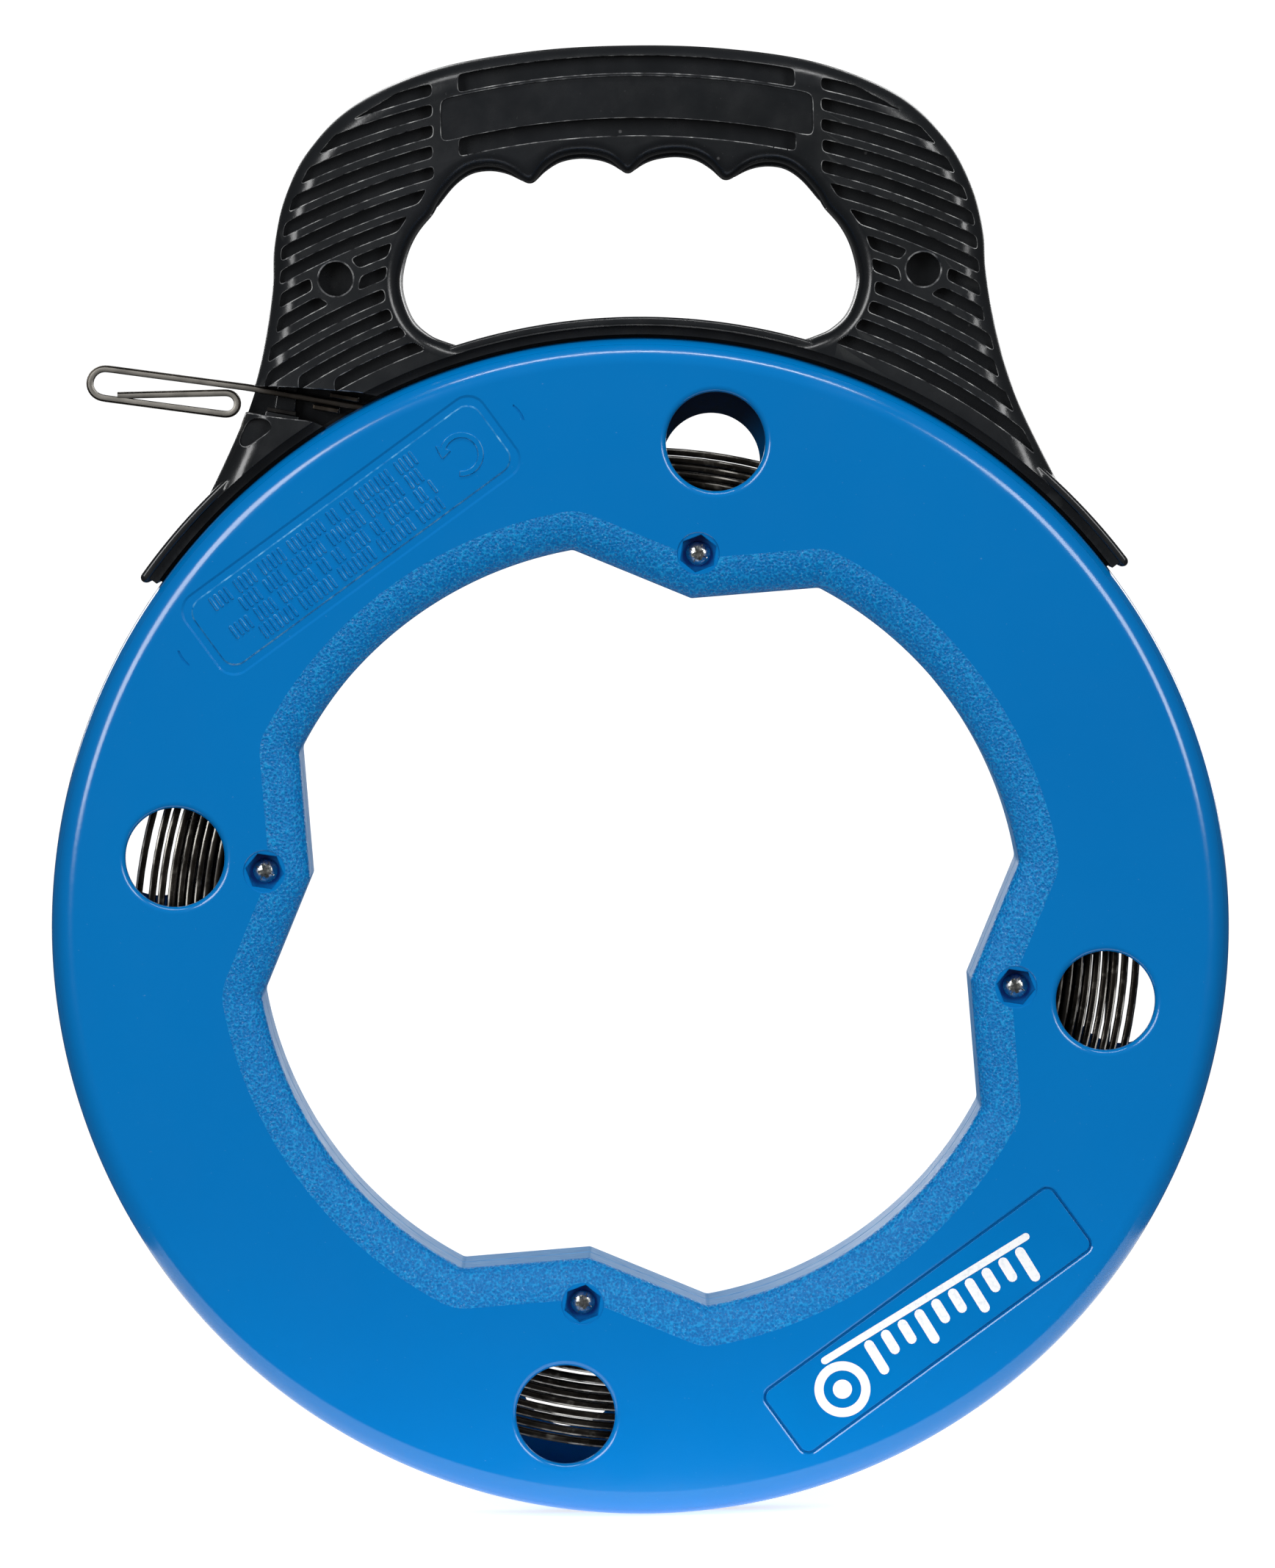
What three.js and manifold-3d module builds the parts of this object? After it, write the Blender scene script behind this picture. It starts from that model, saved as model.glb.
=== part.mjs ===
// Fish tape reel: a two-part moulded case turns inside a hand grip that rides on the
// slot in its rim, and the flat steel tape wound in the case leaves through the grip.
//
// Millimetres. +Z is up, the reel turns about Y, and the front face looks along -Y.
// The origin is under the middle of the case, where its rim meets the ground.

import * as THREE from 'three';
import * as BufferGeometryUtils from 'three/addons/utils/BufferGeometryUtils.js';
import Module from 'manifold-3d';

const wasm = await Module();
wasm.setup();

const DEG = Math.PI / 180;

// Case
const CASE_R = 135;              // largest radius, at the rim slot
const CASE_HALF = 18;            // half of the case's thickness
const SEAM = 0.15;               // each half stops this far from the middle plane
const WALL = 2.4;                // face and hub wall
const RIM_WALL = 2.6;
const RIM_SLOT_HALF = 3.5;       // the rim halves leave a slot for the grip's neck
const RIM_DRAFT_Y = 8;           // the rounded edge of the rim ends here
const RIM_DRAFT_R = 134.6;
const EDGE_W = 4.6;              // rounded edge, across the face
const HUB_R = 87.8;              // central opening, on its arcs
const TIP_R = 76.3;              // central opening, at the four finger stops
const FLANK = 76.5 * DEG;        // slope of a finger stop's flank to its own radius
const HUB_ROUND_W = 9;           // rounded band around the opening, across the face
const HUB_ROUND_D = 4;           // and its depth
const PATTERN = 80.3 * DEG;      // the first finger stop, window and screw stand here
const QUARTER = Math.PI / 2;
const WINDOW_R = 11.3;
const WINDOW_FAR = 112.5;        // distance of two opposite windows from the axis
const WINDOW_NEAR = 107.4;       // and of the other two
const SCREW_RING_R = 86.7;
const BOSS_R = 5.4;
const HEX_POCKET_AF = 7.6;
const POCKET_FLOOR = 12;         // distance of a pocket's floor from the middle plane
const BORE_R = 1.95;
const LABEL = { length: 82, height: 18, corner: 2.5, recess: 0.8, distance: 111 };

// Fasteners
const SHANK_R = 1.7;
const HEAD_R = 2.8;
const HEAD_H = 2.2;
const NUT_AF = 7;
const NUT_H = 2.6;
const FIT_GAP = 0.2;

// Tape
const TAPE_T = 1.6;
const TAPE_W = 3.2;
const COIL_IN = 95;
const COIL_OUT = 113;
const COIL_HALF_W = 13;
const COIL_GROOVE_R = 104.6;     // the leaving tape runs over this groove in the coil
const COIL_GROOVE_HALF = 2.7;
const LEADER_R = 105.8;          // distance of the leaving tape's line from the axis
const LEADER_ANGLE = 79 * DEG;   // it touches the coil here
const EXIT_X = -88;              // where the tape leaves the grip
const EYE = { rise: 8.5 * DEG, out: 32.6, bend: 3.6, back: 28.4, smallBend: 2.6, end: 26, splay: 10 * DEG };
const POST = { distance: 93, angle: 235 * DEG, r: 1.4 };

// Grip
const GRIP_HALF = 15;            // half of the grip's depth
const GRIP_ROUND = 3;
const SHOE_OUT = 140.5;
const SHOE_STEP = 137.6;
const SHOE_IN = 135.6;
const SHOE_HALF = 14;            // half depth of the shoe's outer bar
const SHOE_BAND_HALF = 11;       // half depth of the recessed band beside the rim
const SHOE_SPAN = 54.2 * DEG;    // the shoe reaches this far either side of the top
const NECK_HALF = 3;
const NECK_SPAN = 52 * DEG;
const FLANGE_IN = 127.8;
const FLANGE_OUT = 131.3;
const FLANGE_HALF = 8;
const RIB_OUTER_R = 197;         // the outermost of the concentric grooves in the grip
const RIB_PITCH = 4.57;
const GROOVE_W = 2.7;
const GROOVE_DEPTH = 4;
const LONG_GROOVE_W = 4;
const LONG_GROOVE_SPAN = 11.2 * DEG;
const PANEL = { inner: 184.9, outer: 194.3, span: 12.9 * DEG, recess: 0.6 };
const GRIP_SCREW = { x: 66.9, z: 149.3, recessR: 3.9, floor: 9 };

// One side of the grip's symmetric outer outline, from the shoe up to the top.
const GRIP_SIDE = [
  [98.0, 100.7], [93.0, 109], [88.3, 119], [85.0, 129], [82.8, 139], [81.4, 149],
  [80.9, 158], [78.3, 168.5], [72.7, 179], [62.2, 189], [44, 196.7], [22, 200.4],
];
const GRIP_TOP = 201.4;

// One side of the hand opening, from the shoe up to the first finger scallop.
const HAND_SIDE = [[45.4, 135.6], [49.8, 139.6], [52.2, 147], [51.2, 154], [48.6, 159.6], [44.8, 164]];
const SCALLOP_CUSP_X = 22.5;
const SHELL_RAISE = 0.9;         // the shells' scallops stand this far above the trigger's

// Angles from the top, in degrees, where each concentric groove starts and ends.
const GROOVES = [
  [[13.0, 17.2]], [[13.3, 20.9]], [[13.6, 23.1]], [[14.0, 24.8]], [[14.3, 26.1]], [[15.6, 27.1]],
  [[17.7, 28.0]], [[19.3, 22.7], [26.1, 28.9]], [[20.2, 22.6], [25.9, 30.1]], [[21.0, 31.9]],
  [[21.1, 33.4]], [[20.7, 36.0]], [[19.8, 39.5]],
];
// The lowest two grooves stop earlier on the left, above the tape channel.
const SHORT_GROOVE_END = { 11: 31.1, 12: 28.4 };

// The channel that the tape runs out through, narrowing towards the outside.
const CHANNEL = [
  [-100, 125.6], [-87.2, 125.3], [-76.8, 124.8], [-62, 123.4], [-52, 121], [-62, 112],
  [-73.6, 117.1], [-81.3, 118.1], [-88.8, 119.4], [-100, 121],
];
// A shallow three-cornered pocket below the channel's mouth, on the front only.
const MOUTH_POCKET = [[-86.6, 117.4], [-82.0, 116.4], [-89.4, 111.4]];
const MOUTH_POCKET_DEPTH = 3;

// Squeeze trigger
const TRIGGER_HALF = 5;
const TRIGGER_SIDE_GAP = 0.5;
const TRIGGER_TOP = 178;
const TRIGGER_END_X = 44.3;
const FLANGE_T = 3;
const TRIGGER_FLANGE_HALF = 7.5;
const TRIGGER_FLANGE_X = 47;
const TRIGGER_TRAVEL = 2.5;
const TRIGGER_ROOF = 190;
const SPRING_X = 25;
const SPRING_R = 3.2;
const ARM_FRONT = 2.6;           // the brake arm passes behind the tape, from here
const ARM_BACK = 5.6;            // to here
const ARM_W = 5;
const ARM_GAP = 0.6;
const ARM_POCKET_BACK = 6.3;
const ARM_LINE = [
  [-44, 179.5], [-58, 179.5], [-67.5, 175.5], [-73, 167], [-75.6, 157], [-76.2, 146], [-78, 131], [-80, 117.5],
];
const FOOT = { drop: 2.9, thickness: 3, right: -76.5, left: -84 };
const PAD_T = 0.8;

// Steel plates beside the tape where it crosses the rim
const GUIDE_HALF = 5;
const GUIDE_T = 1.2;
const UPPER_GUIDE_X = [-62.5, -69];
const LOWER_GUIDE_X = [-67, -73];

const BLUE = new THREE.Color(0x0073bd);
const BLACK = new THREE.Color(0x101214);
const ZINC = new THREE.Color(0xc9ccd0);
const TAPE_STEEL = new THREE.Color(0x5b5a57);
const LABEL_BLUE = new THREE.Color(0x0a86cc);

const plastic = (color) => new THREE.MeshStandardMaterial({ color, roughness: 0.35, metalness: 0 });
const metal = (color) => new THREE.MeshStandardMaterial({ color, roughness: 0.3, metalness: 0.9 });

// ---------------------------------------------------------------- solids

/** Turns a closed geometry into a manifold, facing out. */
function solid(geometry) {
  const bare = geometry.clone();
  bare.deleteAttribute('normal');
  bare.deleteAttribute('uv');
  const merged = BufferGeometryUtils.mergeVertices(bare);
  const vertices = merged.attributes.position.array;
  const source = merged.index.array;
  const triangles = [];
  let volume = 0;
  const a = new THREE.Vector3();
  const b = new THREE.Vector3();
  const c = new THREE.Vector3();
  for (let i = 0; i < source.length; i += 3) {
    const [p, q, r] = [source[i], source[i + 1], source[i + 2]];
    if (p === q || q === r || r === p) continue;
    a.fromArray(vertices, 3 * p);
    b.fromArray(vertices, 3 * q);
    c.fromArray(vertices, 3 * r);
    volume += a.dot(b.cross(c));
    triangles.push(p, q, r);
  }
  if (volume < 0) triangles.reverse();
  return new wasm.Manifold(new wasm.Mesh({
    numProp: 3,
    vertProperties: new Float32Array(vertices),
    triVerts: new Uint32Array(triangles),
  }));
}

/** A named mesh from a manifold. */
function meshOf(name, manifold, material) {
  const { vertProperties, triVerts } = manifold.getMesh();
  const geometry = new THREE.BufferGeometry();
  geometry.setAttribute('position', new THREE.BufferAttribute(new Float32Array(vertProperties), 3));
  geometry.setIndex(new THREE.BufferAttribute(new Uint32Array(triVerts), 1));
  geometry.computeVertexNormals();
  const mesh = new THREE.Mesh(geometry, material);
  mesh.name = name;
  return mesh;
}

/** A flat shape drawn in X and Z, filled from one Y to another. */
function slab(shape, yA, yB, curveSegments = 4) {
  const back = Math.max(yA, yB);
  const geometry = new THREE.ExtrudeGeometry(shape, {
    depth: Math.abs(yB - yA),
    bevelEnabled: false,
    curveSegments,
  });
  geometry.rotateX(Math.PI / 2);
  geometry.translate(0, back, 0);
  return solid(geometry);
}

/** The same, with every edge of both faces rounded off inwards. */
function roundedSlab(shape, yA, yB, across, deep, steps, curveSegments = 4) {
  const back = Math.max(yA, yB);
  const geometry = new THREE.ExtrudeGeometry(shape, {
    depth: Math.abs(yB - yA) - 2 * deep,
    bevelEnabled: true,
    bevelSize: across,
    bevelOffset: -across,
    bevelThickness: deep,
    bevelSegments: steps,
    curveSegments,
  });
  geometry.rotateX(Math.PI / 2);
  geometry.translate(0, back - deep, 0);
  return solid(geometry);
}

/** A solid of revolution about Y from [radius, y] pairs. */
function turned(profile, segments = 72) {
  const points = profile.map(([r, y]) => new THREE.Vector2(r, y));
  return solid(new THREE.LatheGeometry(points, segments));
}

/** A turned ring, whose profile closes on itself. */
function ring(profile, segments) {
  return turned([...profile, profile[0]], segments);
}

// ---------------------------------------------------------------- flat outlines

const polar = (r, angle) => [r * Math.cos(angle), r * Math.sin(angle)];
const vectors = (points) => points.map(([x, z]) => new THREE.Vector2(x, z));

function circle(x, z, r) {
  const shape = new THREE.Shape();
  shape.absarc(x, z, r, 0, 2 * Math.PI, false);
  return shape;
}

function hexagon(x, z, acrossFlats, turn) {
  const r = acrossFlats / Math.sqrt(3);
  const corners = [0, 1, 2, 3, 4, 5].map((i) => {
    const [dx, dz] = polar(r, turn + i * Math.PI / 3);
    return new THREE.Vector2(x + dx, z + dz);
  });
  return new THREE.Shape(corners);
}

/** A rectangle with round corners, centred on a point and turned. */
function roundedRectangle(x, z, length, height, corner, turn) {
  const [a, b] = [length / 2 - corner, height / 2 - corner];
  const shape = new THREE.Shape();
  [[a, b], [-a, b], [-a, -b], [a, -b]].forEach(([u, v], i) => {
    const [du, dv] = [u * Math.cos(turn) - v * Math.sin(turn), u * Math.sin(turn) + v * Math.cos(turn)];
    shape.absarc(x + du, z + dv, corner, turn + i * QUARTER, turn + (i + 1) * QUARTER, false);
  });
  shape.closePath();
  return shape;
}

/** Part of a ring about the reel's axis, from one angle to another. */
function ringSector(inner, outer, from, to) {
  const shape = new THREE.Shape();
  shape.absarc(0, 0, outer, from, to, false);
  shape.absarc(0, 0, inner, to, from, true);
  shape.closePath();
  return shape;
}

/** The same with round ends. */
function arcSlot(radius, width, from, to) {
  const shape = new THREE.Shape();
  const r = width / 2;
  const [startX, startZ] = polar(radius, from);
  const [endX, endZ] = polar(radius, to);
  shape.absarc(0, 0, radius + r, from, to, false);
  shape.absarc(endX, endZ, r, to, to + Math.PI, false);
  shape.absarc(0, 0, radius - r, to, from, true);
  shape.absarc(startX, startZ, r, from + Math.PI, from + 2 * Math.PI, false);
  shape.closePath();
  return shape;
}

/** A strip of even thickness along a run of [x, z] points. */
function strip(points, thickness) {
  const half = thickness / 2;
  const sideOf = (side) => points.map(([x, z], i) => {
    const [ax, az] = points[Math.max(i - 1, 0)];
    const [bx, bz] = points[Math.min(i + 1, points.length - 1)];
    const length = Math.hypot(bx - ax, bz - az);
    return new THREE.Vector2(x - side * half * (bz - az) / length, z + side * half * (bx - ax) / length);
  });
  return new THREE.Shape([...sideOf(1), ...sideOf(-1).reverse()]);
}

/** Points on an arc about a centre. */
function arcPoints(x, z, r, from, to, count) {
  return Array.from({ length: count + 1 }, (_, i) => {
    const [dx, dz] = polar(r, from + (to - from) * i / count);
    return [x + dx, z + dz];
  });
}

/** The central opening's outline, pushed outwards: four arcs between four finger stops. */
function lobedOutline(offset) {
  const radius = HUB_R + offset;
  const tip = TIP_R + offset / Math.sin(FLANK);
  const along = tip * Math.cos(FLANK);
  const reach = -along + Math.sqrt(along ** 2 - tip ** 2 + radius ** 2);
  const flankEnd = Math.atan2(reach * Math.sin(FLANK), tip + reach * Math.cos(FLANK));
  const points = [0, 1, 2, 3].flatMap((k) => {
    const stop = PATTERN + k * QUARTER;
    return [polar(tip, stop), ...arcPoints(0, 0, radius, stop + flankEnd, stop + QUARTER - flankEnd, 8)];
  });
  return new THREE.Shape(vectors(points));
}

// ---------------------------------------------------------------- case

/** One moulding of the case, as the front half. The same moulding makes the rear half. */
function caseHalf() {
  const rounding = [0, 25, 48, 70, 90].map((t) => [
    RIM_DRAFT_R - EDGE_W + EDGE_W * Math.sin(t * DEG),
    -RIM_DRAFT_Y - (CASE_HALF - RIM_DRAFT_Y) * Math.cos(t * DEG),
  ]);
  const inside = CASE_HALF - WALL;
  const tray = turned([
    [0, -CASE_HALF],
    ...rounding,
    [CASE_R, -RIM_SLOT_HALF],
    [CASE_R - RIM_WALL, -RIM_SLOT_HALF],
    [RIM_DRAFT_R - RIM_WALL, -RIM_DRAFT_Y],
    [RIM_DRAFT_R - RIM_WALL - 1.5, -inside + 2.4],
    [RIM_DRAFT_R - RIM_WALL - 4, -inside],
    [0, -inside],
  ]);
  const overlap = 1;
  let body = tray
    .add(slab(lobedOutline(WALL), -inside - overlap, -SEAM))
    .add(slab(lobedOutline(WALL + 1), -inside - overlap, -inside + 1.2));

  const stops = [0, 1, 2, 3].map((k) => PATTERN + k * QUARTER);
  for (const stop of stops) {
    const [x, z] = polar(SCREW_RING_R, stop);
    body = body.add(slab(circle(x, z, BOSS_R), -inside - overlap, -SEAM));
  }

  // The opening: a plate with a rounded hole, cut to the case's own outline.
  const plate = circle(0, 0, CASE_R + 2 * HUB_ROUND_W);
  plate.holes.push(lobedOutline(0));
  body = body.intersect(roundedSlab(plate, -CASE_HALF, CASE_HALF, HUB_ROUND_W, HUB_ROUND_D, 3));

  stops.forEach((stop, k) => {
    const distance = k % 2 === 0 ? WINDOW_FAR : WINDOW_NEAR;
    const [windowX, windowZ] = polar(distance, stop);
    const [x, z] = polar(SCREW_RING_R, stop);
    body = body
      .subtract(slab(circle(windowX, windowZ, WINDOW_R), -CASE_HALF - overlap, -inside + overlap, 12))
      .subtract(slab(hexagon(x, z, HEX_POCKET_AF, stop), -CASE_HALF - overlap, -POCKET_FLOOR))
      .subtract(slab(circle(x, z, BORE_R), -POCKET_FLOOR - overlap, overlap));
  });
  const [labelX, labelZ] = polar(LABEL.distance, PATTERN + 2.5 * QUARTER);
  const recess = roundedRectangle(
    labelX, labelZ, LABEL.length, LABEL.height, LABEL.corner, PATTERN - QUARTER / 2,
  );
  return body.subtract(slab(recess, -CASE_HALF - overlap, -CASE_HALF + LABEL.recess, 2));
}

/** A blank label lying in the recess of the front half. */
function blankLabel() {
  const [x, z] = polar(LABEL.distance, PATTERN + 2.5 * QUARTER);
  const shape = roundedRectangle(
    x, z, LABEL.length - 1, LABEL.height - 1, LABEL.corner - 0.5, PATTERN - QUARTER / 2,
  );
  const floor = -CASE_HALF + LABEL.recess;
  return slab(shape, floor - FIT_GAP - 0.4, floor - FIT_GAP, 2);
}

/** A pan-head screw along Y: the head's underside at one Y, the end of the shank at another. */
function panScrew(x, z, headY, endY) {
  const out = Math.sign(headY - endY);
  const profile = [
    [0, headY + out * HEAD_H],
    [HEAD_R * 0.6, headY + out * HEAD_H],
    [HEAD_R, headY + out * HEAD_H * 0.5],
    [HEAD_R, headY],
    [SHANK_R, headY],
    [SHANK_R, endY + out],
    [SHANK_R * 0.6, endY],
    [0, endY],
  ];
  return turned(profile, 10).translate([x, 0, z]);
}

function hexNut(x, z, y, turn) {
  const shape = hexagon(x, z, NUT_AF, turn);
  shape.holes.push(circle(x, z, BORE_R));
  return slab(shape, y, y + NUT_H);
}

// ---------------------------------------------------------------- tape

/** The wound tape as one ring, grooved where the leaving tape runs over it. */
function tapeCoil() {
  return ring([
    [COIL_IN, -COIL_HALF_W],
    [COIL_OUT, -COIL_HALF_W],
    [COIL_OUT, -COIL_GROOVE_HALF],
    [COIL_GROOVE_R, -COIL_GROOVE_HALF],
    [COIL_GROOVE_R, COIL_GROOVE_HALF],
    [COIL_OUT, COIL_GROOVE_HALF],
    [COIL_OUT, COIL_HALF_W],
    [COIL_IN, COIL_HALF_W],
  ], 40);
}

/** The point on the leaving tape's line at a given X. */
function onLeader(x) {
  const [touchX, touchZ] = polar(LEADER_R, LEADER_ANGLE);
  return [x, touchZ + (touchX - x) / Math.tan(LEADER_ANGLE)];
}

/** The centreline of the leaving tape and the folded eye on its end. */
function leaderLine() {
  const [exitX, exitZ] = onLeader(EXIT_X);
  const [outX, outZ] = [-Math.cos(EYE.rise), Math.sin(EYE.rise)];
  const up = QUARTER - EYE.rise;
  const [upX, upZ] = polar(1, up);
  const [bendX, bendZ] = [exitX + EYE.out * outX - EYE.bend * upX, exitZ + EYE.out * outZ - EYE.bend * upZ];
  const under = EYE.bend - EYE.smallBend;
  const smallX = bendX - EYE.back * outX - under * upX;
  const smallZ = bendZ - EYE.back * outZ - under * upZ;
  const endTurn = up + EYE.splay;
  const smallArc = arcPoints(smallX, smallZ, EYE.smallBend, up - Math.PI, endTurn, 8);
  const [lastX, lastZ] = smallArc[smallArc.length - 1];
  return [
    polar(LEADER_R, LEADER_ANGLE),
    [exitX, exitZ],
    ...arcPoints(bendX, bendZ, EYE.bend, up, up + Math.PI, 8),
    ...smallArc,
    [lastX - EYE.end * Math.sin(endTurn), lastZ + EYE.end * Math.cos(endTurn)],
  ];
}

// ---------------------------------------------------------------- grip

const mirrorX = (points) => points.map(([x, z]) => [-x, z]);

/** The scalloped underside of the grip, from right to left, raised at its hollows. */
function scallops(raise, endX, endZ) {
  const side = [
    [endX, endZ], [39.6, 170.4 + raise], [31.5, 173.5 + raise], [25.5, 171.8 + raise * 0.6],
    [SCALLOP_CUSP_X, 171.1], [19, 172.9 + raise * 0.6], [11, 176 + raise], [3.5, 174.4 + raise * 0.6],
  ];
  return [...side, [0, 173], ...mirrorX(side).reverse()];
}

function gripBlank() {
  const shape = new THREE.Shape();
  const foot = 118;                // well inside the rim, to be cut away again
  shape.absarc(0, 0, foot, 48 * DEG, 132 * DEG, false);
  shape.lineTo(-GRIP_SIDE[0][0], GRIP_SIDE[0][1]);
  shape.splineThru(vectors([...mirrorX(GRIP_SIDE.slice(1)), [0, GRIP_TOP], ...GRIP_SIDE.slice().reverse()]));
  shape.closePath();
  const hand = new THREE.Path();
  const [endX, endZ] = HAND_SIDE[HAND_SIDE.length - 1];
  const fingers = scallops(SHELL_RAISE, endX, endZ).slice(1, -1);
  hand.setFromPoints(vectors([...HAND_SIDE, ...fingers, ...mirrorX(HAND_SIDE).reverse()]));
  hand.absarc(0, 0, SHOE_OUT - 0.4, 106.5 * DEG, 73.5 * DEG, true);
  hand.closePath();
  shape.holes.push(hand);
  return shape;
}

function grooveShapes() {
  const shapes = [];
  GROOVES.forEach((runs, row) => {
    const radius = RIB_OUTER_R - row * RIB_PITCH;
    for (const [from, to] of runs) {
      const leftTo = SHORT_GROOVE_END[row] ?? to;
      const cap = GROOVE_W / 2 / radius / DEG;
      shapes.push(arcSlot(radius, GROOVE_W, (90 - to + cap) * DEG, (90 - from - cap) * DEG));
      shapes.push(arcSlot(radius, GROOVE_W, (90 + from + cap) * DEG, (90 + leftTo - cap) * DEG));
    }
  });
  const lowGroove = PANEL.inner - 2.1;
  for (const radius of [RIB_OUTER_R, lowGroove]) {
    shapes.push(arcSlot(radius, LONG_GROOVE_W, QUARTER - LONG_GROOVE_SPAN, QUARTER + LONG_GROOVE_SPAN));
  }
  return shapes;
}

/** A straight-sided slot along the leaving tape, for its way through the neck and flange. */
const tapePassage = () => strip([onLeader(-42), onLeader(-100)], 6);

/** A flat shape with straight sides. */
const polygon = (points) => new THREE.Shape(vectors(points));
const box = (x0, x1, z0, z1) => polygon([[x0, z0], [x1, z0], [x1, z1], [x0, z1]]);

/** One half of the grip. side is -1 for the front and 1 for the rear. */
function gripHalf(side) {
  const y = (distance) => side * distance;
  const past = GRIP_HALF + 5;
  let body = roundedSlab(gripBlank(), -GRIP_HALF, GRIP_HALF, GRIP_ROUND, GRIP_ROUND, 3, 2)
    .intersect(slab(ringSector(120, 230, 20 * DEG, 160 * DEG), y(SEAM), y(past), 12));
  const [top, bottom] = [QUARTER + SHOE_SPAN, QUARTER - SHOE_SPAN];
  body = body
    .add(slab(ringSector(SHOE_STEP - 0.5, SHOE_OUT, bottom, top), y(SEAM), y(SHOE_HALF), 12))
    .add(slab(ringSector(SHOE_IN, SHOE_STEP, bottom, top), y(SEAM), y(SHOE_BAND_HALF), 12))
    .subtract(slab(ringSector(SHOE_IN - 20, SHOE_IN, 20 * DEG, 160 * DEG), y(-1), y(past), 16))
    .subtract(slab(ringSector(SHOE_IN - 1, SHOE_STEP, bottom, top), y(SHOE_BAND_HALF), y(past), 12));
  const [neckTop, neckBottom] = [QUARTER + NECK_SPAN, QUARTER - NECK_SPAN];
  body = body
    .add(slab(ringSector(FLANGE_IN + 1, SHOE_IN + 1, neckBottom, neckTop), y(SEAM), y(NECK_HALF), 12))
    .add(slab(ringSector(FLANGE_IN, FLANGE_OUT, neckBottom, neckTop), y(SEAM), y(FLANGE_HALF), 12));

  // The trigger's slot and pocket, and the way for its brake arm and the tape.
  const slotX = TRIGGER_END_X + 1;
  const pocketX = TRIGGER_FLANGE_X + 1;
  const pocketFloor = TRIGGER_TOP - 0.3;
  body = body
    .subtract(slab(box(-slotX, slotX, 158, pocketFloor + 1), y(-1), y(TRIGGER_HALF + TRIGGER_SIDE_GAP)))
    .subtract(slab(box(-pocketX, pocketX, pocketFloor, TRIGGER_ROOF), y(-1), y(TRIGGER_FLANGE_HALF + 0.5)))
    .subtract(slab(tapePassage(), y(-1), y(RIM_SLOT_HALF)));
  if (side > 0) {
    body = body
      .subtract(armRoom())
      .subtract(slab(polygon(CHANNEL), -1, ARM_POCKET_BACK));
  } else {
    body = body
      .subtract(slab(polygon(CHANNEL), 1, -past))
      .subtract(slab(polygon(MOUTH_POCKET), y(GRIP_HALF - MOUTH_POCKET_DEPTH), -past));
  }
  body = body.subtract(slab(brakeFootRoom(), y(-1), y(side > 0 ? ARM_POCKET_BACK : 3.4)));
  for (const plate of guidePlates(FIT_GAP)) {
    body = body.subtract(slab(plate, y(-1), y(GUIDE_HALF + 0.3)));
  }

  for (const sign of [-1, 1]) {
    const centre = [sign * GRIP_SCREW.x, GRIP_SCREW.z];
    const boreEnd = side > 0 ? GRIP_SCREW.floor + 1 : GRIP_SCREW.floor - 1.4;
    body = body
      .subtract(slab(circle(...centre, GRIP_SCREW.recessR), y(GRIP_SCREW.floor), y(past), 8))
      .subtract(slab(circle(...centre, BORE_R), y(-1), y(boreEnd)));
  }
  for (const groove of grooveShapes()) {
    body = body.subtract(slab(groove, y(GRIP_HALF - GROOVE_DEPTH), y(past), 1));
  }
  const panel = ringSector(PANEL.inner, PANEL.outer, QUARTER - PANEL.span, QUARTER + PANEL.span);
  return body.subtract(slab(panel, y(GRIP_HALF - PANEL.recess), y(past), 2));
}

// ---------------------------------------------------------------- trigger and tape guides

/** Two steel plates beside the tape where it crosses the rim, grown by a gap. */
function guidePlates(grow) {
  const thickness = GUIDE_T + 2 * grow;
  const clear = TAPE_T / 2 + 0.3 + GUIDE_T / 2;
  const [upperIn, upperOut] = UPPER_GUIDE_X;
  const [lowerIn, lowerOut] = LOWER_GUIDE_X;
  const shifted = (x, dz) => {
    const [px, pz] = onLeader(x);
    return [px, pz + dz];
  };
  return [
    strip([shifted(upperIn + grow, clear), shifted(upperOut - grow, clear)], thickness),
    strip([shifted(lowerIn + grow, -clear), shifted(lowerOut - grow, -clear)], thickness),
  ];
}

/** The foot of the brake arm, which squeezes the tape against the channel's roof. */
function brakeFoot(drop, thickness, x0, x1) {
  const at = (x) => {
    const [px, pz] = onLeader(x);
    return [px, pz - TAPE_T / 2 - drop - thickness / 2];
  };
  return strip([at(x0), at(x1)], thickness);
}

/** Room for the foot's whole travel. */
function brakeFootRoom() {
  return brakeFoot(-0.8, FOOT.thickness + FOOT.drop + 1.4, FOOT.right + 0.6, FOOT.left - 0.6);
}

/** Room for the arm's whole travel. */
function armRoom() {
  const resting = slab(strip(ARM_LINE, ARM_W + 2 * ARM_GAP), -1, ARM_POCKET_BACK);
  return resting.add(resting.translate(0, 0, TRIGGER_TRAVEL));
}

function brakeArm() {
  const arm = slab(strip(ARM_LINE, ARM_W), ARM_FRONT, ARM_BACK);
  const foot = slab(brakeFoot(FOOT.drop + 1, FOOT.thickness - 1, FOOT.right, FOOT.left), -3, ARM_BACK);
  return arm.add(foot);
}

function brakePad() {
  return slab(brakeFoot(FOOT.drop, PAD_T, FOOT.right - 0.5, FOOT.left + 0.5), -2.6, 2.3);
}

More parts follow.
